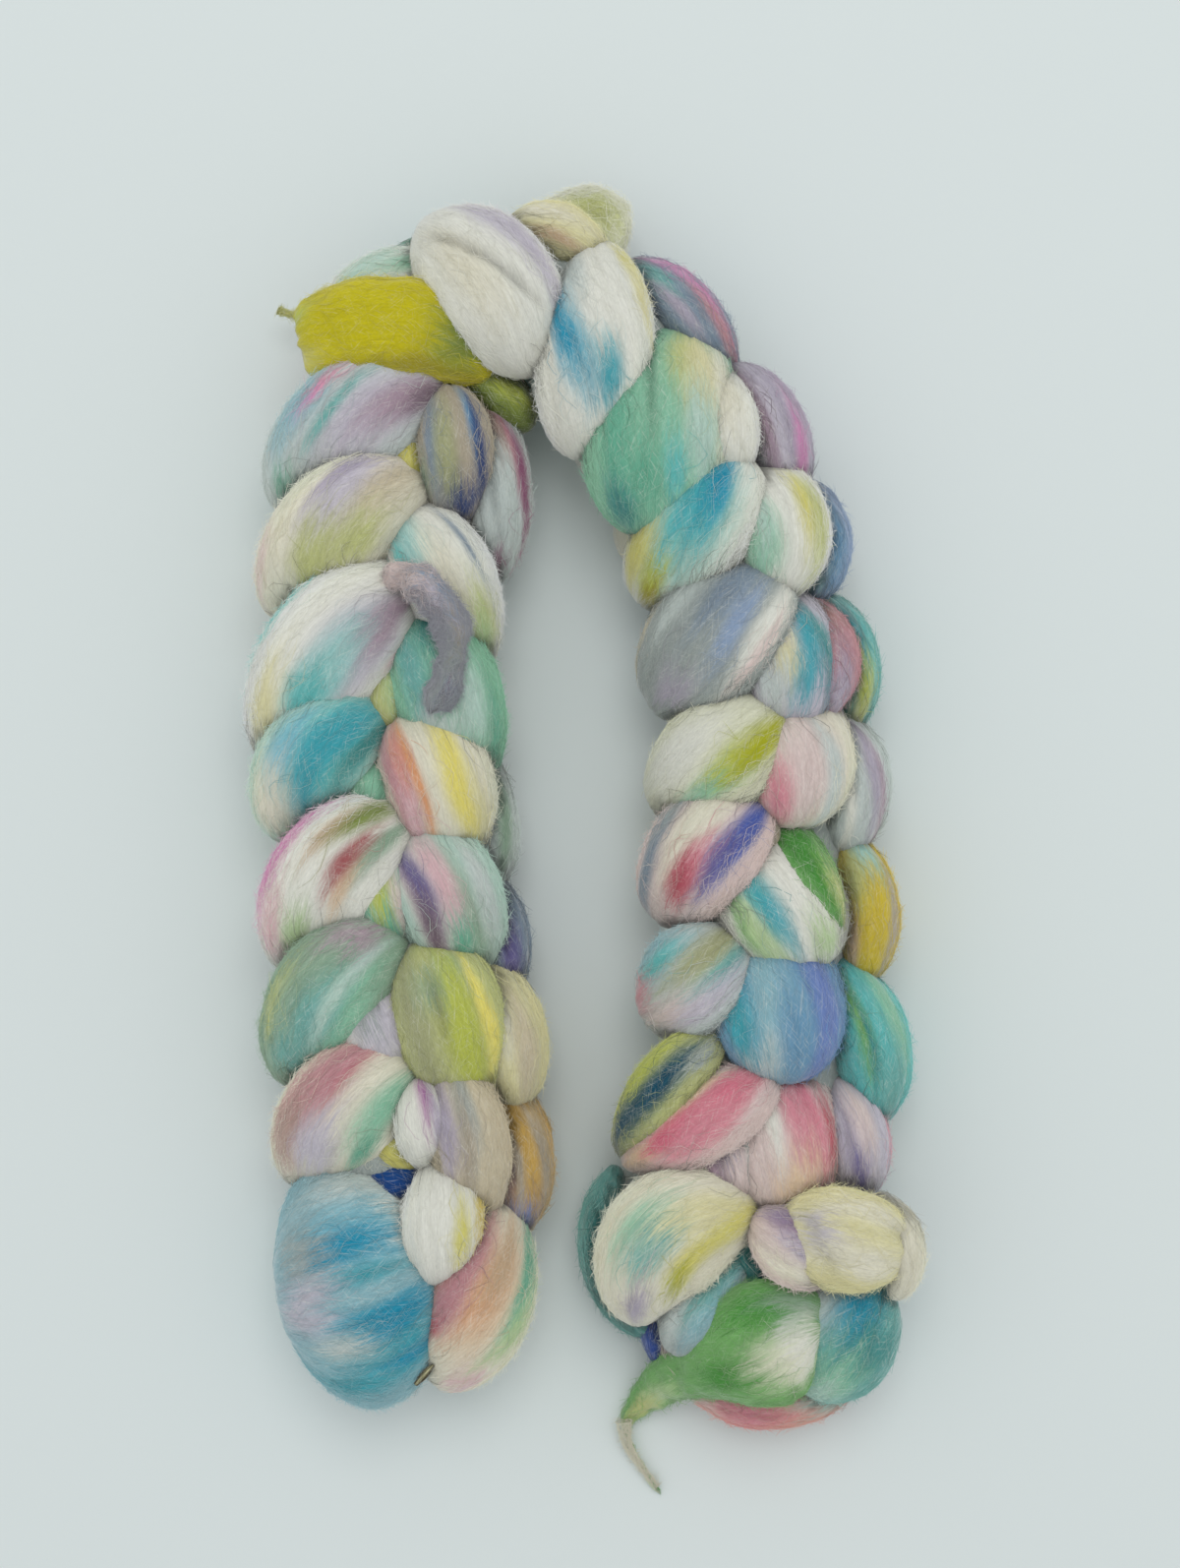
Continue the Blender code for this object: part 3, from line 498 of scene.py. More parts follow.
        ("wash", 52, -66, 16, 6), ("turquoise", 41, -64, 9, 4), ("periwinkle", 66, -62, 17, 5),
        ("mist", 48, -79, 3, 9), ("steel", 57, -72, 10, 4)),
    "r6_teal": (104, "aqua",
        ("green", 75, -64, 13, 3), ("mint", 86, -66, 14, 4), ("teal", 79, -72, 14, 1.2),
        ("soft_teal", 86, -86, 9, 6)),
    "r7_olive": (50, "moss",
        ("lime", 14, -80, 12, 4), ("deep_teal", 19, -85, 15, 4), ("deep_teal", 10, -97, 10, 4),
        ("grey", 33, -76, 6, 3)),
    "r7_rose": (42, "blush",
        ("hot_pink", 38, -88, 13, 5), ("pink", 30, -96, 12, 5), ("hot_pink", 19, -99, 11, 3),
        ("peach", 27, -88, 10, 2), ("peach", 13, -106, 6, 3)),
    "r7_veil": (116, "blush",
        ("mauve", 33, -106, 10, 3), ("lilac", 37, -98, 7, 3), ("soft_teal", 47, -106, 12, 2.2)),
    "r7_shell": (110, "blush",
        ("pink", 57, -90, 10, 4), ("hot_pink", 62, -92, 9, 2.5), ("pink", 64, -100, 10, 4),
        ("crimson", 68, -99, 8, 1.6), ("peach", 58, -112, 5, 8), ("white", 50, -93, 8, 2)),
    "r7_lilac": (104, "pale_lilac",
        ("lilac", 75, -104, 9, 4), ("violet", 76, -109, 4, 3), ("blush", 76, -92, 7, 4),
        ("pink", 86, -105, 11, 2.5)),
    # the end of the right leg, curled round on itself
    "r8_ivory": (48, "cream",
        ("mint", 13, -125, 7, 6), ("soft_teal", 16, -129, 4, 5), ("lemon", 40, -122, 9, 7),
        ("butter", 33, -117, 8, 5), ("lemon", 29, -132, 8, 4), ("acid", 24, -138, 4, 3.5),
        ("lilac", 13, -148, 7, 4), ("cream", 8, -140, 8, 3)),
    "r8_teal": (None, "soft_teal", ("teal", 2, -140, 18, 4)),
    "r8_mauve": (150, "blush",
        ("violet", 54, -120, 6, 3), ("mauve", 60, -123, 8, 4), ("lilac", 64, -130, 6, 4),
        ("cream", 55, -135, 8, 4)),
    "r8_butter": (165, "butter",
        ("pale_lilac", 62, -124, 4, 6), ("cream", 78, -119, 10, 3), ("cream", 74, -132, 10, 4)),
    "r8_fold": (None, "cream"),
    "r9_deep": (None, "teal"),
    "r9_grey": (48, "grey",
        ("wash", 34, -146, 12, 4), ("mist", 26, -148, 10, 3), ("soft_teal", 37, -139, 10, 3),
        ("teal", 42, -132, 5, 5)),
    "r9_navy": (None, "periwinkle", ("royal", 17, -160, 12, 3)),
    "r9_pearl": (None, "blush", ("white", 27, -166, 6, 4)),
    "r9_sea": (60, "soft_teal",
        ("mist", 64, -144, 9, 7), ("cyan", 78, -148, 7, 5), ("teal", 78, -161, 9, 7),
        ("mint", 70, -168, 6, 6), ("pale_mint", 66, -174, 6, 5)),
    "r9_coral": (None, "salmon",
        ("pink", 46, -179, 9, 8), ("pale_mint", 70, -175, 8, 8), ("blush", 31, -178, 6, 8)),
    "r9_nest": (None, "soft_teal", ("grey", 40, -150, 8, 8)),
    # the loose ends
    "yellow_end": (None, "yellow",
        ("lemon", -82, 119, 5, 5), ("lime", -82, 132, 4, 6), ("dark_yellow", -50, 117, 18, 3),
        ("olive", -36, 124, 7, 9)),
    "green_tail": (None, "green",
        ("leaf", 47, -146, 8, 6), ("leaf", 38, -168, 12, 4), ("sage", 57, -146, 5, 6),
        ("ivory", 57, -161, 9, 6), ("white", 62, -157, 4, 8), ("green", 27, -172, 8, 8),
        ("pale_green", 20, -179, 10, 8), ("moss", 15, -184, 7, 8), ("cream", 12, -200, 10, 9),
        ("cream", 18, -207, 12, 9)),
    # the white ground round the moss centre is partly the tuft's pale colour, partly painted light on its
    # rim
    "pale_tuft": (None, "white", ("pale_moss", 3, 166, 12, 6), ("moss", 4, 166, 8, 4)),
    "yellow_end_wisp": (None, "lemon", ("moss", -87, 137, 5, 5)),
    "green_tail_wisp": (None, "cream"),
    "straw": (None, "bark", ("butter", -46.5, -166.8, 2.5, 0.35)),
    "lilac_lock": (None, "heather",
        ("grey", -38, 34, 12, 5), ("pale_lilac", -42, 51, 7, 3), ("taupe", -37, 44, 5, 1.5),
        ("blush", -54, 58, 7, 12), ("steel", -44, 56, 3, 1.5), ("dark_mauve", -47, 51, 3, 1.2),
        ("slate", -38, 25, 4, 2.5), ("dark_mauve", -38.5, 24.5, 2.5, 1.6)),
}

# Dye on the lobes of the underside, by turns: the ground colour and that of either end, and
# the half length along and around of the band of colour there.
UNDER_DYES = (("cream", "soft_teal", "pale_lilac"), ("white", "pale_pink", "lemon"),
              ("mist", "wash", "blush"), ("white", "mauve", "pale_aqua"),
              ("butter", "pale_green", "white"), ("pale_mint", "cyan", "cream"),
              ("white", "peach", "slate"))
UNDER_BAND = (13, 80)


def smooth(x):
    return x * x * (3 - 2 * x)


def mixed(low, high, share):
    """From low to high, by that share."""
    return low * (1 - share) + high * share


def unit(vectors):
    return vectors / np.linalg.norm(vectors, axis=-1, keepdims=True)


def linear(display):
    """Display values from 0 to 255 as linear light."""
    value = np.asarray(display, float) / 255
    return np.where(value <= 0.04045, value / 12.92, ((value + 0.055) / 1.055) ** 2.4)


def streaks(rng, u, v, length, width):
    """Smooth noise from -1 to 1 at fibre coordinates u and v, in patches of that length along
    the fibres and that width across them, in mm."""
    u = (u - u.min()) / length + rng.uniform(0, 1)
    v = (v - v.min()) / width + rng.uniform(0, 1)
    table = rng.uniform(-1, 1, (int(u.max()) + 2, int(v.max()) + 2))
    i, j = u.astype(int), v.astype(int)
    fu, fv = smooth(u - i), smooth(v - j)
    near = mixed(table[i, j], table[i, j + 1], fv)
    far = mixed(table[i + 1, j], table[i + 1, j + 1], fv)
    return mixed(near, far, fu)


class Wool:
    """A length of wool: a skin drawn round a centreline, in rings from end to end. Its two
    end points are its poles. Everything is in millimetres, in the table frame."""

    def __init__(self, name, ends, centre, half_width, half_height, roll, around):
        self.name, self.poles = name, np.asarray(ends, float)
        self.rng = np.random.default_rng([SEED, *name.encode()])
        tangent = unit(np.gradient(centre, axis=0))
        side = unit(np.cross(tangent, (0, 0, 1)))
        up = np.cross(side, tangent)
        turned = math.radians(roll)
        side, up = (way * math.cos(turned) + np.cross(tangent, way) * math.sin(turned)
                    for way in (side, up))
        self.centre, self.tangent = centre, tangent
        steps = np.linalg.norm(np.diff(centre, axis=0), axis=1)
        self.along = np.concatenate(([0], np.cumsum(steps)))
        self.turn = np.arange(around) / around
        angle = 2 * math.pi * self.turn - math.pi / 2      # the seam is underneath
        self.lateral = np.cos(angle)
        self.half_width = half_width
        self.narrowed = half_width / half_width.max()
        self.radial = (side[:, None] * (half_width[:, None] * np.cos(angle))[..., None]
                       + up[:, None] * (half_height[:, None] * np.sin(angle))[..., None])
        self.girth = math.pi * (half_width.max() + half_height.max())
        self.fibre_angle = self.angle_to_fibres()
        self.u, self.v = self.fibre_place(self.along[:, None], self.turn[None, :])
        # painted shade and painted light, by which the dye is multiplied
        self.shade = np.ones(self.radial.shape[:2])

    def angle_to_fibres(self):
        """The angle from this length of wool to its fibres, counter-clockwise from above."""
        fibres = DYES.get(self.name, DYES["plain"])[0]
        if fibres is None:
            return 0.0
        axis = math.degrees(math.atan2(*(self.poles[1] - self.poles[0])[1::-1]))
        return math.radians((fibres - axis + 90) % 180 - 90)

    def fibre_place(self, along, turn):
        """Millimetres along and across the fibres, for places along and round the wool."""
        round_it, angle = (turn - 0.5) * self.girth, self.fibre_angle
        return (along * math.cos(angle) + round_it * math.sin(angle),
                round_it * math.cos(angle) - along * math.sin(angle))

    def noise(self, patch):
        """Smooth noise over the skin, in patches of that length and width."""
        return streaks(self.rng, self.u, self.v, *patch)

    @property
    def skin(self):
        return self.centre[:, None] + self.radial

    @property
    def radius(self):
        return np.linalg.norm(self.radial, axis=-1)

    def grow(self, share):
        """Moves each point of the skin out by a share of its radius."""
        self.radial = self.radial * (1 + share)[..., None]

    def relieve(self, locks=LOCKS):
        """Presses the folds, locks and strands into the skin."""
        lock_edge = 1 - np.minimum(1, np.abs(self.noise(LOCK_PATCH)) * GROOVE_NARROW)
        rise = (FOLDS * self.radius * self.noise((FOLD_LENGTH, self.girth / FOLDS_AROUND))
                + locks * (LOCK_SWELL * self.noise(SWELL_PATCH) - smooth(lock_edge))
                + STRANDS * self.noise(STRAND_PATCH))
        share = rise / np.maximum(self.radius, NEVER_ZERO)
        self.grow(np.clip(share, -MOST_RELIEF, MOST_RELIEF))

    def fray(self, ragged, start, end):
        """Roughens the edges by ragged mm, and draws locks out past each end by up to so much."""
        rough = ragged * self.noise(RAGGED_PATCH)
        self.grow(np.clip(rough / self.radius, -MOST_RAGGED, MOST_RAGGED))
        count = max(FEWEST_TEASED, int(self.half_width.max() / TEASED_WIDTH))
        locks = self.rng.uniform(0, 1, (2, count))
        position = (self.lateral + 1) / 2 * (count - 1)
        low = position.astype(int)
        high = np.minimum(low + 1, count - 1)
        drawn = mixed(locks[:, low], locks[:, high], smooth(position - low))
        for push, far in ((-drawn[0] * start, self.along),
                          (drawn[1] * end, self.along[-1] - self.along)):
            fade = np.exp(-(far / FRAY_DEPTH) ** 2)
            self.radial = self.radial + (self.tangent * fade[:, None])[:, None] * push[:, None]

    def crease(self, x0, y0, x1, y1, depth):
        """Presses a groove into the skin from one place to another, with painted shade in it."""
        (ring_0, spoke_0), (ring_1, spoke_1) = self.place(x0, y0), self.place(x1, y1)
        girth = self.girth * self.narrowed
        start = np.array((self.along[ring_0], 0.0))
        apart = (self.turn[spoke_1] - self.turn[spoke_0] + 0.5) % 1 - 0.5
        way = np.array((self.along[ring_1], apart * girth[(ring_0 + ring_1) // 2])) - start
        turned = (self.turn - self.turn[spoke_0] + 0.5) % 1 - 0.5
        here = np.broadcast_arrays(self.along[:, None], turned * girth[:, None])
        here = np.stack(here, -1) - start
        share = np.clip((here @ way) / (way @ way), 0, 1)
        gap = np.linalg.norm(here - share[..., None] * way, axis=-1)
        strength = np.sin(math.pi * mixed(CREASE_FADE, 1 - CREASE_FADE, share))
        press = depth * strength * np.exp(-(gap / CREASE_WIDTH) ** 2)
        self.grow(-press / self.radius)
        # painted shade: the dye is darkened along the groove
        self.shade = self.shade * (1 - CREASE_PAINTED_SHADE * press)

    def place(self, x, y):
        """The ring and the spoke of the point of the upper skin that is nearest to a place."""
        skin = self.skin
        gap = np.hypot(skin[..., 0] - x, skin[..., 1] - y)
        gap = gap + np.where(self.radial[..., 2] < 0, UNDERNEATH, 0)
        return divmod(int(np.argmin(gap)), gap.shape[1])

    def dyed(self, shift):
        """Linear colour of each point of the skin, read shift mm further along the fibres."""
        _, ground, *patches = DYES.get(self.name, DYES["plain"])
        colour = np.broadcast_to(linear(COLOURS[ground]), self.radial.shape)
        rng = np.random.default_rng([SEED + 1, *self.name.encode()])
        u = self.u + shift + DRIFT * streaks(rng, self.u, self.v, *DRIFT_PATCH)
        v = self.v + WANDER * streaks(rng, self.u, self.v, *WANDER_PATCH)
        for name, x, y, along, across in patches:
            at = self.place(x, y)
            far, off = (u - self.u[at]) / along, (v - self.v[at]) / across
            share = np.exp(-PATCH_HALF * (far ** 2 + off ** 2) ** PATCH_EDGE)
            colour = mixed(colour, linear(COLOURS[name]), share[..., None])
        # the painted shade and painted light of shade go into the colour here
        return np.minimum(colour * self.shade[..., None] * DYE_TONE, PALEST)

    def point_dyes(self, shift):
        """The same for each of points(), with a mean colour at either pole."""
        colour = self.dyed(shift)
        return np.concatenate((colour.reshape(-1, 3), colour[[0, -1]].mean(axis=1)))

    def points(self):
        """The points of the skin and the two poles, all clear of the table."""
        skin = np.concatenate((self.skin.reshape(-1, 3), self.poles))
        skin[:, 2] = np.maximum(skin[:, 2], FLOOR_CLEAR)
        return skin

    def faces(self):
        """Quads between the rings, and triangles at the two poles."""
        rings, around = self.radial.shape[:2]
        j = np.arange(around)
        k = (j + 1) % around
        i = np.arange(rings - 1)[:, None] * around
        quads = np.stack((i + j, i + around + j, i + around + k, i + k), -1)
        last, pole = (rings - 1) * around, rings * around
        caps = (np.stack((0 * j + pole, j, k), -1),
                np.stack((0 * j + pole + 1, last + k, last + j), -1))
        return quads.reshape(-1, 4), np.concatenate(caps)

    def corners(self):
        """Millimetres along the wool and turns round it, for each corner of faces(). The
        triangles take a millimetre more at either end."""
        around = len(self.turn)
        v0, v1 = np.arange(around) / around, np.arange(1, around + 1) / around
        start, end = self.along[:-1, None], self.along[1:, None]
        below, above = 0 * v0 - 1, 0 * v0 + self.along[-1]

        def of_faces(*places):
            pairs = [np.stack(np.broadcast_arrays(u, v), -1) for u, v in places]
            return np.stack(pairs, -2).reshape(-1, 2)

        return np.concatenate((
            of_faces((start, v0), (end, v0), (end, v1), (start, v1)),
            of_faces((below, v0), (below + 1, v0), (below + 1, v1)),
            of_faces((above + 1, v0), (above, v1), (above, v0))))


def lobe_wool(row, face):
    """A lobe as the CAD has it, with more faces. face is the size of one, in mm."""
    name, kind, ax, ay, bx, by, bow, width, top = row
    flat, drop_a, drop_b, tip_a, tip_b, peak, roll = KINDS[kind]
    height = width * flat
    middle_z = top - height / 2
    a, b = np.array((ax, ay, middle_z - drop_a)), np.array((bx, by, middle_z - drop_b))
    way = (b - a)[:2]
    left = np.array((-way[1], way[0])) / np.hypot(*way)
    middle = np.array((*((a + b)[:2] / 2 + bow * left), middle_z))
    control = 2 * middle - (a + b) / 2
    length = np.linalg.norm(middle - a) + np.linalg.norm(b - middle)
    rings = int(length / face[0]) + TIP_RINGS
    t = (1 - np.cos(np.linspace(0, math.pi, rings + 2)[1:-1])) / 2
    centre = np.outer((1 - t) ** 2, a) + np.outer(2 * t * (1 - t), control) + np.outer(t * t, b)
    warped = t ** (math.log(0.5) / math.log(peak))
    full = (4 * warped * (1 - warped)) ** mixed(tip_a, tip_b, warped) / 2
    around = int(math.pi * (width + height) / 2 / face[1])
    wool = Wool(name, (a, b), centre, width * full, height * full, roll, around)
    wool.relieve()
    return wool


def along_sections(rows, step):
    """Rows of a given table, with smooth ones added between them, step mm apart."""
    rows = np.asarray(rows, float)
    padded = np.concatenate((2 * rows[:1] - rows[1:2], rows, 2 * rows[-1:] - rows[-2:-1]))
    made = []
    for before, start, end, after in zip(padded, padded[1:], padded[2:], padded[3:]):
        count = max(2, round(np.linalg.norm((end - start)[:3]) / step))
        for t in np.arange(count) / count:
            made.append(0.5 * (2 * start + (end - before) * t
                               + (2 * before - 5 * start + 4 * end - after) * t ** 2
                               + (3 * start - before - 3 * end + after) * t ** 3))
    return np.array(made + [rows[-1]])


def tongue_wool(name, sections, face):
    """A flat tongue lofted through its sections: x, y, z, width and thickness of each."""
    rows = along_sections(sections, face[0])
    centre, width, thickness = rows[:, :3], rows[:, 3], rows[:, 4]
    tangent = unit(np.gradient(centre, axis=0))
    ends = (centre[0] - tangent[0] * thickness[0] / POLE_REACH,
            centre[-1] + tangent[-1] * thickness[-1] / POLE_REACH)
    around = max(FEWEST_AROUND, int(math.pi * (width.max() + thickness.max()) / 2 / face[1]))
    return Wool(name, ends, centre, width / 2, thickness / 2, 0, around)


def spine_at(distance):
    """Point and direction of the spine at that distance from its left end."""
    spine = np.asarray(SPINE, float)
    steps = np.diff(spine, axis=0)
    lengths = np.hypot(*steps.T)
    i = int(np.clip(np.searchsorted(np.cumsum(lengths), distance), 0, len(steps) - 1))
    way = steps[i] / lengths[i]
    return spine[i] + way * (distance - lengths[:i].sum()), way


def under_rows():
    """The underside of the braid, a lobe across it for every stitch, as part.py has it. Adds
    their dyes to the table of dyes."""
    total = np.hypot(*np.diff(np.asarray(SPINE, float), axis=0).T).sum()
    count = round(total / STRAND_PITCH)
    rows = []
    for i in range(count):
        middle, way = spine_at((i + 0.5) * total / count)
        across = unit(np.array((way[1], -way[0])) + way * UNDER_SKEW) * UNDER_HALF_SPAN
        start, end = middle - across, middle + across
        top = UNDER_MIDDLE + UNDER_HEIGHT / 2
        rows.append((f"under_{i}", "under", *start, *end, 0, UNDER_WIDTH, top))
        ground, near, far = UNDER_DYES[i % len(UNDER_DYES)]
        DYES[f"under_{i}"] = (None, ground, (near, *start, *UNDER_BAND), (far, *end, *UNDER_BAND))
    return rows


def shelves(sizes):
    """Packs rectangles into a square from 0 to 1, and returns the corner and scale of each."""
    sizes = np.asarray(sizes, float) + SHELF_GAP
    across = math.sqrt((sizes[:, 0] * sizes[:, 1]).sum()) * SHELF_SPARE
    corners, x, y, tall = [None] * len(sizes), 0, 0, 0
    for i in np.argsort(-sizes[:, 1]):
        if x + sizes[i, 0] > across:
            x, y, tall = 0, y + tall, 0
        corners[i], x, tall = (x, y), x + sizes[i, 0], max(tall, sizes[i, 1])
    return np.array(corners) + SHELF_GAP / 2, 1 / max(across, y + tall)


def mesh_piece(name, points, quads, tris, colours, uv, bake_uv, material):
    """An object with that mesh, in metres and in the model's frame."""
    mesh = bpy.data.meshes.new(name)
    mesh.vertices.add(len(points))
    mesh.vertices.foreach_set("co", ((points - ORIGIN) * MM).astype(np.float32).ravel())
    corners = np.concatenate((quads.ravel(), tris.ravel())).astype(np.int32)
    totals = np.repeat((4, 3), (len(quads), len(tris)))
    mesh.loops.add(len(corners))
    mesh.loops.foreach_set("vertex_index", corners)
    mesh.polygons.add(len(totals))
    starts = np.concatenate(([0], np.cumsum(totals)[:-1])).astype(np.int32)
    mesh.polygons.foreach_set("loop_start", starts)
    mesh.update(calc_edges=True)
    mesh.shade_smooth()
    for layer_name, values in zip(("dye_near", "dye_far"), colours):
        layer = mesh.color_attributes.new(layer_name, "FLOAT_COLOR", "POINT")
        rgba = np.concatenate((values, np.ones((len(values), 1))), axis=1)
        layer.data.foreach_set("color", rgba.astype(np.float32).ravel())
    for layer_name, values in (("fibre", uv), ("OFBake", bake_uv)):
        layer = mesh.uv_layers.new(name=layer_name)
        layer.uv.foreach_set("vector", np.asarray(values, np.float32).ravel())
    mesh.materials.append(material)
    piece = bpy.data.objects.new(name, mesh)
    bpy.context.scene.collection.objects.link(piece)
    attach(piece, "root")
    return piece


def wool_piece(name, wools, material):
    """One object made of several lengths of wool."""
    corners, scale = shelves([(w.along[-1] + 2, w.girth) for w in wools])
    made, count = [], 0
    for number, (wool, corner) in enumerate(zip(wools, corners)):
        points, (quads, tris), places = wool.points(), wool.faces(), wool.corners()
        near, far = wool.point_dyes(-DYE_SPREAD), wool.point_dyes(DYE_SPREAD)
        first = (wool.rng.uniform(0, FIBRE_SPREAD), FIBRE_STRIDE * number)
        uv = np.stack(wool.fibre_place(*places.T), -1) + first
        bake = (places * (1, wool.girth) + (1, 0) + corner) * scale
        split = quads.size
        made.append((points, quads + count, tris + count, near, far,
                     uv[:split], uv[split:], bake[:split], bake[split:]))
        count += len(points)
    points, quads, tris, near, far, quad_uv, tri_uv, quad_bake, tri_bake = zip(*made)
    return mesh_piece(
        name, np.concatenate(points), np.concatenate(quads), np.concatenate(tris),
        (np.concatenate(near), np.concatenate(far)), np.concatenate(quad_uv + tri_uv),
        np.concatenate(quad_bake + tri_bake), material)


def new_material(name, surface):
    """A material with those settings, and its shader."""
    material = bpy.data.materials.new(name)
    material.use_nodes = True
    shader = material.node_tree.nodes["Principled BSDF"]
    for key, value in surface.items():
        shader.inputs[key].default_value = value
    return material, shader


def wool_material(name, fuzzy=False, hairiness=1.0):
    """Combed wool: streaks of dye along its fibres, a soft sheen and fibres in the bump."""
    material, shader = new_material(name, WOOL_SURFACE)
    nodes, links = material.node_tree.nodes, material.node_tree.links

    def node(kind, inputs, output=0, **settings):
        """The output of a new node with those settings and inputs."""
        made = nodes.new("ShaderNode" + kind)
        for key, value in settings.items():
            setattr(made, key, value)
        for key, value in inputs.items():
            if isinstance(value, bpy.types.NodeSocket):
                links.new(value, made.inputs[key])
            else:
                made.inputs[key].default_value = value
        return made.outputs[output]

    def noise(at, length, width, inputs):
        """Noise in patches of that length and width in mm."""
        scaled = node("VectorMath", {0: at, 1: (1 / length, 1 / width, 1)}, operation="MULTIPLY")
        return node("TexNoise", {"Vector": scaled, "Scale": 1.0, **inputs}, "Fac")

    def ranged(value, span, low, high):
        limits = {"From Min": span[0], "From Max": span[1], "To Min": low, "To Max": high}
        return node("MapRange", {"Value": value, **limits}, "Result")

    place = node("UVMap", {}, "UV", uv_map="fibre")
    near, far = (node("Attribute", {}, "Color", attribute_name=layer)
                 for layer in ("dye_near", "dye_far"))
    noises = [noise(place, length, width, {"Detail": detail, "Roughness": NOISE_ROUGHNESS})
              for length, width, detail, *_ in NOISES]
    streak = ranged(noises[0], STREAK_RANGE, 0, 1)
    colour = node("MixRGB", {"Fac": streak, "Color1": near, "Color2": far}, "Color")
    shade, normal = 1.0, {}
    for value, (*_, dark, light, strength, depth) in zip(noises, NOISES):
        toned = ranged(value, NOISE_RANGE, dark, light)
        shade = node("Math", {0: shade, 1: toned}, operation="MULTIPLY")
        if not fuzzy:
            bump = {"Height": value, "Strength": strength, "Distance": depth, **normal}
            normal = {"Normal": node("Bump", bump)}
    colour = node("VectorMath", {0: colour, "Scale": shade}, operation="SCALE")
    for angle, length, width, share in (() if fuzzy else HAIRS):
        turn = {"Vector": place, "Angle": math.radians(angle)}
        turned = node("VectorRotate", turn, rotation_type="Z_AXIS")
        hair = noise(turned, length, width, {"Detail": HAIR_DETAIL, "Distortion": HAIR_CURL})
        share = ranged(hair, HAIR_RANGE, 0, share * hairiness)
        white = (*linear(COLOURS["white"]), 1)
        colour = node("MixRGB", {"Fac": share, "Color1": colour, "Color2": white}, "Color")
    links.new(colour, shader.inputs["Base Color"])
    if not fuzzy:
        links.new(normal["Normal"], shader.inputs["Normal"])
    return material


def widened(heights, reach):
    """The greatest height within reach cells of each cell of a map."""
    padded = np.pad(heights, reach, constant_values=NOWHERE)
    rows, columns = heights.shape
    shifted = [padded[i:i + rows, j:j + columns]
               for i in range(2 * reach + 1) for j in range(2 * reach + 1)]
    return np.max(shifted, axis=0)


class Relief:
    """Maps of the heights that lengths of wool reach, as seen from above."""

    def __init__(self, wools):
        self.wools = wools
        every = np.concatenate([w.skin.reshape(-1, 3) for w in wools])
        self.low = every[:, :2].min(axis=0) - MAP_CELL
        shape = tuple(((every[:, :2].max(axis=0) - self.low) / MAP_CELL).astype(int) + 2)
        self.first, self.second = np.full(shape, NOWHERE), np.full(shape, NOWHERE)
        self.owner = np.full(shape, -1)
        for number, wool in enumerate(wools):
            own = np.full(shape, NOWHERE)
            np.maximum.at(own, self.cells(wool.skin), wool.skin[..., 2])
            over = own > self.first
            self.second = np.where(over, self.first, np.maximum(self.second, own))
            self.first = np.where(over, own, self.first)
            self.owner[over] = number

    def cells(self, places):
        where = ((places[..., :2] - self.low) / MAP_CELL).astype(int)
        return where[..., 0], where[..., 1]

    def height(self, x, y):
        return self.first[self.cells(np.array((x, y, 0.0)))]

    def clear(self, wool):
        """Which points of its skin nothing lies over."""
        return wool.skin[..., 2] > self.first[self.cells(wool.skin)] - SEEN_DEPTH

    def shade(self, number):
        """Painted shade in the creases under other wool, and painted light on the rims."""
        skin = self.wools[number].skin
        others = np.where(self.owner == number, self.second, self.first)
        # painted shade: darker where other wool lies above within reach
        dark = 0
        for reach, depth, share in CREASE_SHADES:
            above = widened(others, reach)[self.cells(skin)] - skin[..., 2]
            dark = dark + share * smooth(np.clip(above / depth, 0, 1))
        # painted light: paler rims, taken away near creases
        rim = np.abs(self.wools[number].lateral) ** RIM_POWER * np.clip(1 - dark * RIM_CUT, 0, 1)
        return (1 - dark) * (1 + RIM_LIGHT * rim)


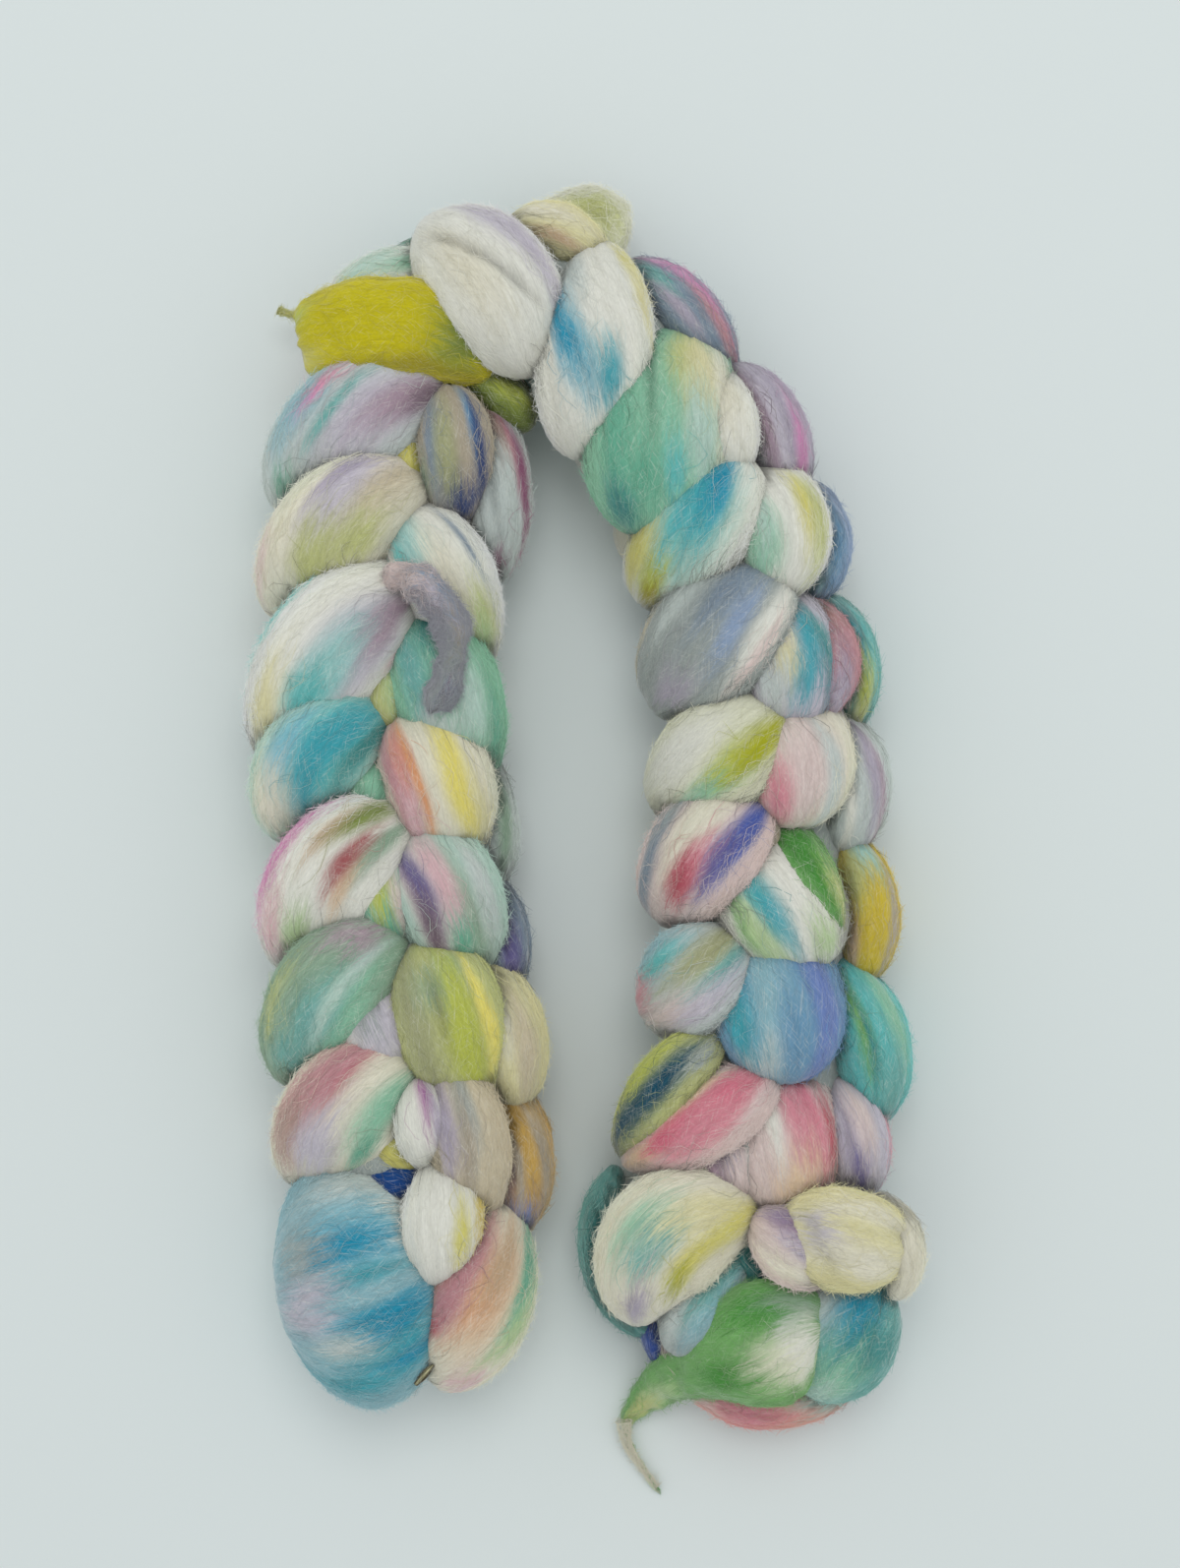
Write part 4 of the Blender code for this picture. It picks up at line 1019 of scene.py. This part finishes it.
def loose_fibres(rng, wool, area, number):
    """That many thin ribbons over a length of wool, more of them where area is greater, and
    the two dyes of their points."""
    rings, around = area.shape
    picked = rng.choice(area.size, number, p=(area / area.sum()).ravel())
    ring = picked // around + rng.uniform(0, 1, number)
    spoke = picked % around + rng.uniform(0, 1, number)
    short, long, sway, low, high = FIBRES[rng.choice(len(FIBRES), number, p=FIBRE_SHARES)].T
    length = rng.uniform(short, long)
    turned = rng.normal(0, 1, number) * sway + wool.fibre_angle
    lift = rng.uniform(low, high)
    length = length * rng.choice((-1, 1), number)
    at = np.clip(ring.astype(int), 0, rings - 1)
    spoke_gap = np.maximum(wool.girth * wool.narrowed[at], LEAST_GIRTH) / around
    bend = rng.normal(0, FIBRE_BEND, number) * np.abs(length)
    steps = np.linspace(0, 1, FIBRE_STEPS + 1)
    u = ring[:, None] + (length * np.cos(turned) / np.gradient(wool.along)[at])[:, None] * steps
    v = spoke[:, None] + (length * np.sin(turned) / spoke_gap)[:, None] * steps
    v = v + (bend / spoke_gap)[:, None] * np.sin(math.pi * steps)
    u = np.clip(u, 0, rings - 1 - SHORT_OF_END)
    i, j = u.astype(int), np.floor(v).astype(int)
    fu, fv = (u - i)[..., None], (v - j)[..., None]
    j, k = j % around, (j + 1) % around
    radial = mixed(mixed(wool.radial[i, j], wool.radial[i, k], fv),
                   mixed(wool.radial[i + 1, j], wool.radial[i + 1, k], fv), fu)
    outward = unit(radial)
    standing = (sway > STANDING_SWAY)[:, None]
    rise = np.where(standing, steps ** STANDING_CURVE, LYING_LIFT + np.sin(math.pi * steps))
    path = mixed(wool.centre[i], wool.centre[i + 1], fu) + radial
    path = path + outward * (lift[:, None] * rise)[..., None]
    across = np.cross(np.gradient(path, axis=1), outward + FIBRE_FACES_UP)
    half = rng.uniform(*FIBRE_HALF_WIDTH, number)[:, None] * (1 - FIBRE_TAPER * steps ** 3)
    across = unit(across + NEVER_ZERO) * half[..., None]
    dyes = []
    for shift in (-DYE_SPREAD, DYE_SPREAD):
        # painted light: each fibre whitened at random, over the painted shade and light of its wool
        painted_light = rng.uniform(0, FIBRE_PAINTED_LIGHT, number)[:, None]
        colour = mixed(wool.dyed(shift)[i[:, 0], j[:, 0]], linear(COLOURS["white"]), painted_light)
        dyes.append(np.repeat(colour, 2 * len(steps), axis=0))
    return np.stack((path - across, path + across), 2).reshape(number, -1, 3), dyes


def fuzz_piece(name, wools, seen, count, material):
    """Loose fibres that lie along the wool or stand a little off it, as one object."""
    rng = np.random.default_rng([SEED, *name.encode()])
    areas = []
    for wool, clear in zip(wools, seen):
        step = np.gradient(wool.along)[:, None] * wool.girth / len(wool.turn)
        edge = 1 + OUTLINE_FUZZ * np.abs(wool.lateral) ** OUTLINE_POWER
        areas.append(np.where(clear, 1.0, HIDDEN_FUZZ) * step * wool.narrowed[:, None] * edge
                     * FLUFF.get(wool.name, 1.0))
    shares = np.array([a.sum() for a in areas])
    counts = rng.multinomial(count, shares / shares.sum())
    made = [loose_fibres(rng, wool, area, number)
            for wool, area, number in zip(wools, areas, counts) if number]
    ribbons = np.concatenate([ribbon for ribbon, _ in made])
    colours = [np.concatenate(dyes) for dyes in zip(*(dyes for _, dyes in made))]
    points = ribbons.reshape(-1, 3)
    points[:, 2] = np.maximum(points[:, 2], FLOOR_CLEAR / 2)
    number = np.arange(count)
    first = np.arange(FIBRE_STEPS) * 2
    quad = np.stack((first, first + 1, first + 3, first + 2), -1)
    quads = (number[:, None, None] * ribbons.shape[1] + quad).reshape(-1, 4)
    grid = math.ceil(math.sqrt(count))
    cell = np.stack((number % grid, number // grid), -1) / grid
    start, low = first / 2, first * 0
    corner = np.stack((start, low, start, low + 1, start + 1, low + 1, start + 1, low), -1)
    corner = corner.reshape(-1, 2) / (FIBRE_STEPS, 1) * (1 - 2 * CELL_MARGIN) + CELL_MARGIN
    bake = (cell[:, None] + corner / grid).reshape(-1, 2)
    uv = np.repeat(rng.uniform(0, FIBRE_SPREAD, (count, 2)), 4 * FIBRE_STEPS, axis=0)
    no_tris = np.empty((0, 3), int)
    return mesh_piece(name, points, quads, no_tris, colours, uv, bake, material)


def stage():
    """Floor, light and camera."""
    bpy.ops.mesh.primitive_plane_add(size=FLOOR_SIZE)
    floor = bpy.context.object
    floor.name = "floor"
    material, shader = new_material("floor", FLOOR_SURFACE)
    shader.inputs["Base Color"].default_value = (*linear(COLOURS["floor"]), 1)
    floor.data.materials.append(material)

    world = bpy.data.worlds.new("studio")
    bpy.context.scene.world = world
    world.use_nodes = True
    sky = world.node_tree.nodes["Background"]
    sky.inputs["Color"].default_value = SKY_COLOUR
    sky.inputs["Strength"].default_value = SKY_STRENGTH
    for name, place, size, power in LIGHTS:
        light = bpy.data.lights.new(name, "AREA")
        light.shape, light.size, light.energy = "DISK", size, power
        lamp = bpy.data.objects.new(name, light)
        lamp.location = place
        lamp.rotation_euler = Vector(place).to_track_quat("Z", "Y").to_euler()
        bpy.context.scene.collection.objects.link(lamp)

    camera = bpy.data.cameras.new("camera")
    camera.sensor_fit, camera.sensor_width = "HORIZONTAL", SENSOR_WIDTH
    camera.lens = camera.sensor_width * (CAMERA_HEIGHT - SCALE_HEIGHT) / FRAME_WIDTH
    eye = bpy.data.objects.new("camera", camera)
    eye.location = (-ORIGIN[0] * MM, -ORIGIN[1] * MM, CAMERA_HEIGHT)
    bpy.context.scene.collection.objects.link(eye)
    bpy.context.scene.camera = eye
    bpy.context.scene.view_settings.view_transform = "Standard"


def braid(material, fuzz_material):
    """The lobes that show, with the bit of straw caught in them, and their loose fibres."""
    lobes = {row[0]: lobe_wool(row, FINE) for row in LOBES}
    for name, *crease in CREASES:
        lobes[name].crease(*crease)
    relief = Relief(list(lobes.values()))
    for number, wool in enumerate(relief.wools):
        # paints the shade of creases and the light of rims into the dye
        wool.shade = wool.shade * relief.shade(number)
    top = max(relief.height(x, y) for x, y, *_ in STRAW) + STRAW_LIFT
    lying = [(x, y, top, width, thickness) for x, y, width, thickness in STRAW]
    straw = tongue_wool("straw", lying, STRAW_FACE)
    for name, starts in PIECES:
        wools = [w for key, w in lobes.items() if key.startswith(starts)]
        extra = [straw] if STRAW_ON.startswith(starts) else []
        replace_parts(wool_piece(name, wools + extra, material), "braid")
        fuzz_piece(name.replace("wool", "fuzz"), wools, [relief.clear(w) for w in wools],
                   FUZZ_COUNT, fuzz_material)


def underside(material):
    """The core and the lobes underneath."""
    unders = [lobe_wool(row, COARSE) for row in under_rows()]
    sections = [(x, y, CORE_MIDDLE, CORE_WIDTH, CORE_HEIGHT) for x, y in SPINE[1:-1]]
    core = tongue_wool("core", sections, COARSE)
    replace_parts(wool_piece("underside_wool", [core] + unders, material), "braid")


def loose_end(name, fuzz_material):
    """One of the loose ends, with its wisps and loose fibres."""
    slot, lies_on, flat, frayed, fuzz_count = ENDS[name]
    sections = [(x, y, z, *(np.array(size) * (THREAD if size[0] < THREAD_BELOW else 1)))
                for x, y, z, *size in TONGUES[name]]
    end = tongue_wool(name, sections, FINE)
    end.relieve(END_LOCKS)
    end.fray(*frayed)
    # painted light on the rims of the loose end
    end.shade = 1 + END_RIM_LIGHT * np.abs(end.lateral) ** RIM_POWER
    piece = wool_piece(name + "_wool", [end], wool_material(slot, hairiness=END_HAIRINESS))
    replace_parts(piece, name)
    wisps = [tongue_wool(wisp, WISPS[wisp], FINE) for wisp in WISPS if wisp.startswith(name)]
    wools = [end] + wisps
    fuzz_piece(name + "_fuzz", wools, [np.full(w.radial.shape[:2], True) for w in wools],
               fuzz_count, fuzz_material)


def main():
    material = wool_material("dyed_wool")
    fuzz_material = wool_material("loose_fibres", fuzzy=True)
    braid(material, fuzz_material)
    underside(material)
    for name in ENDS:
        loose_end(name, fuzz_material)
    stage()


main()
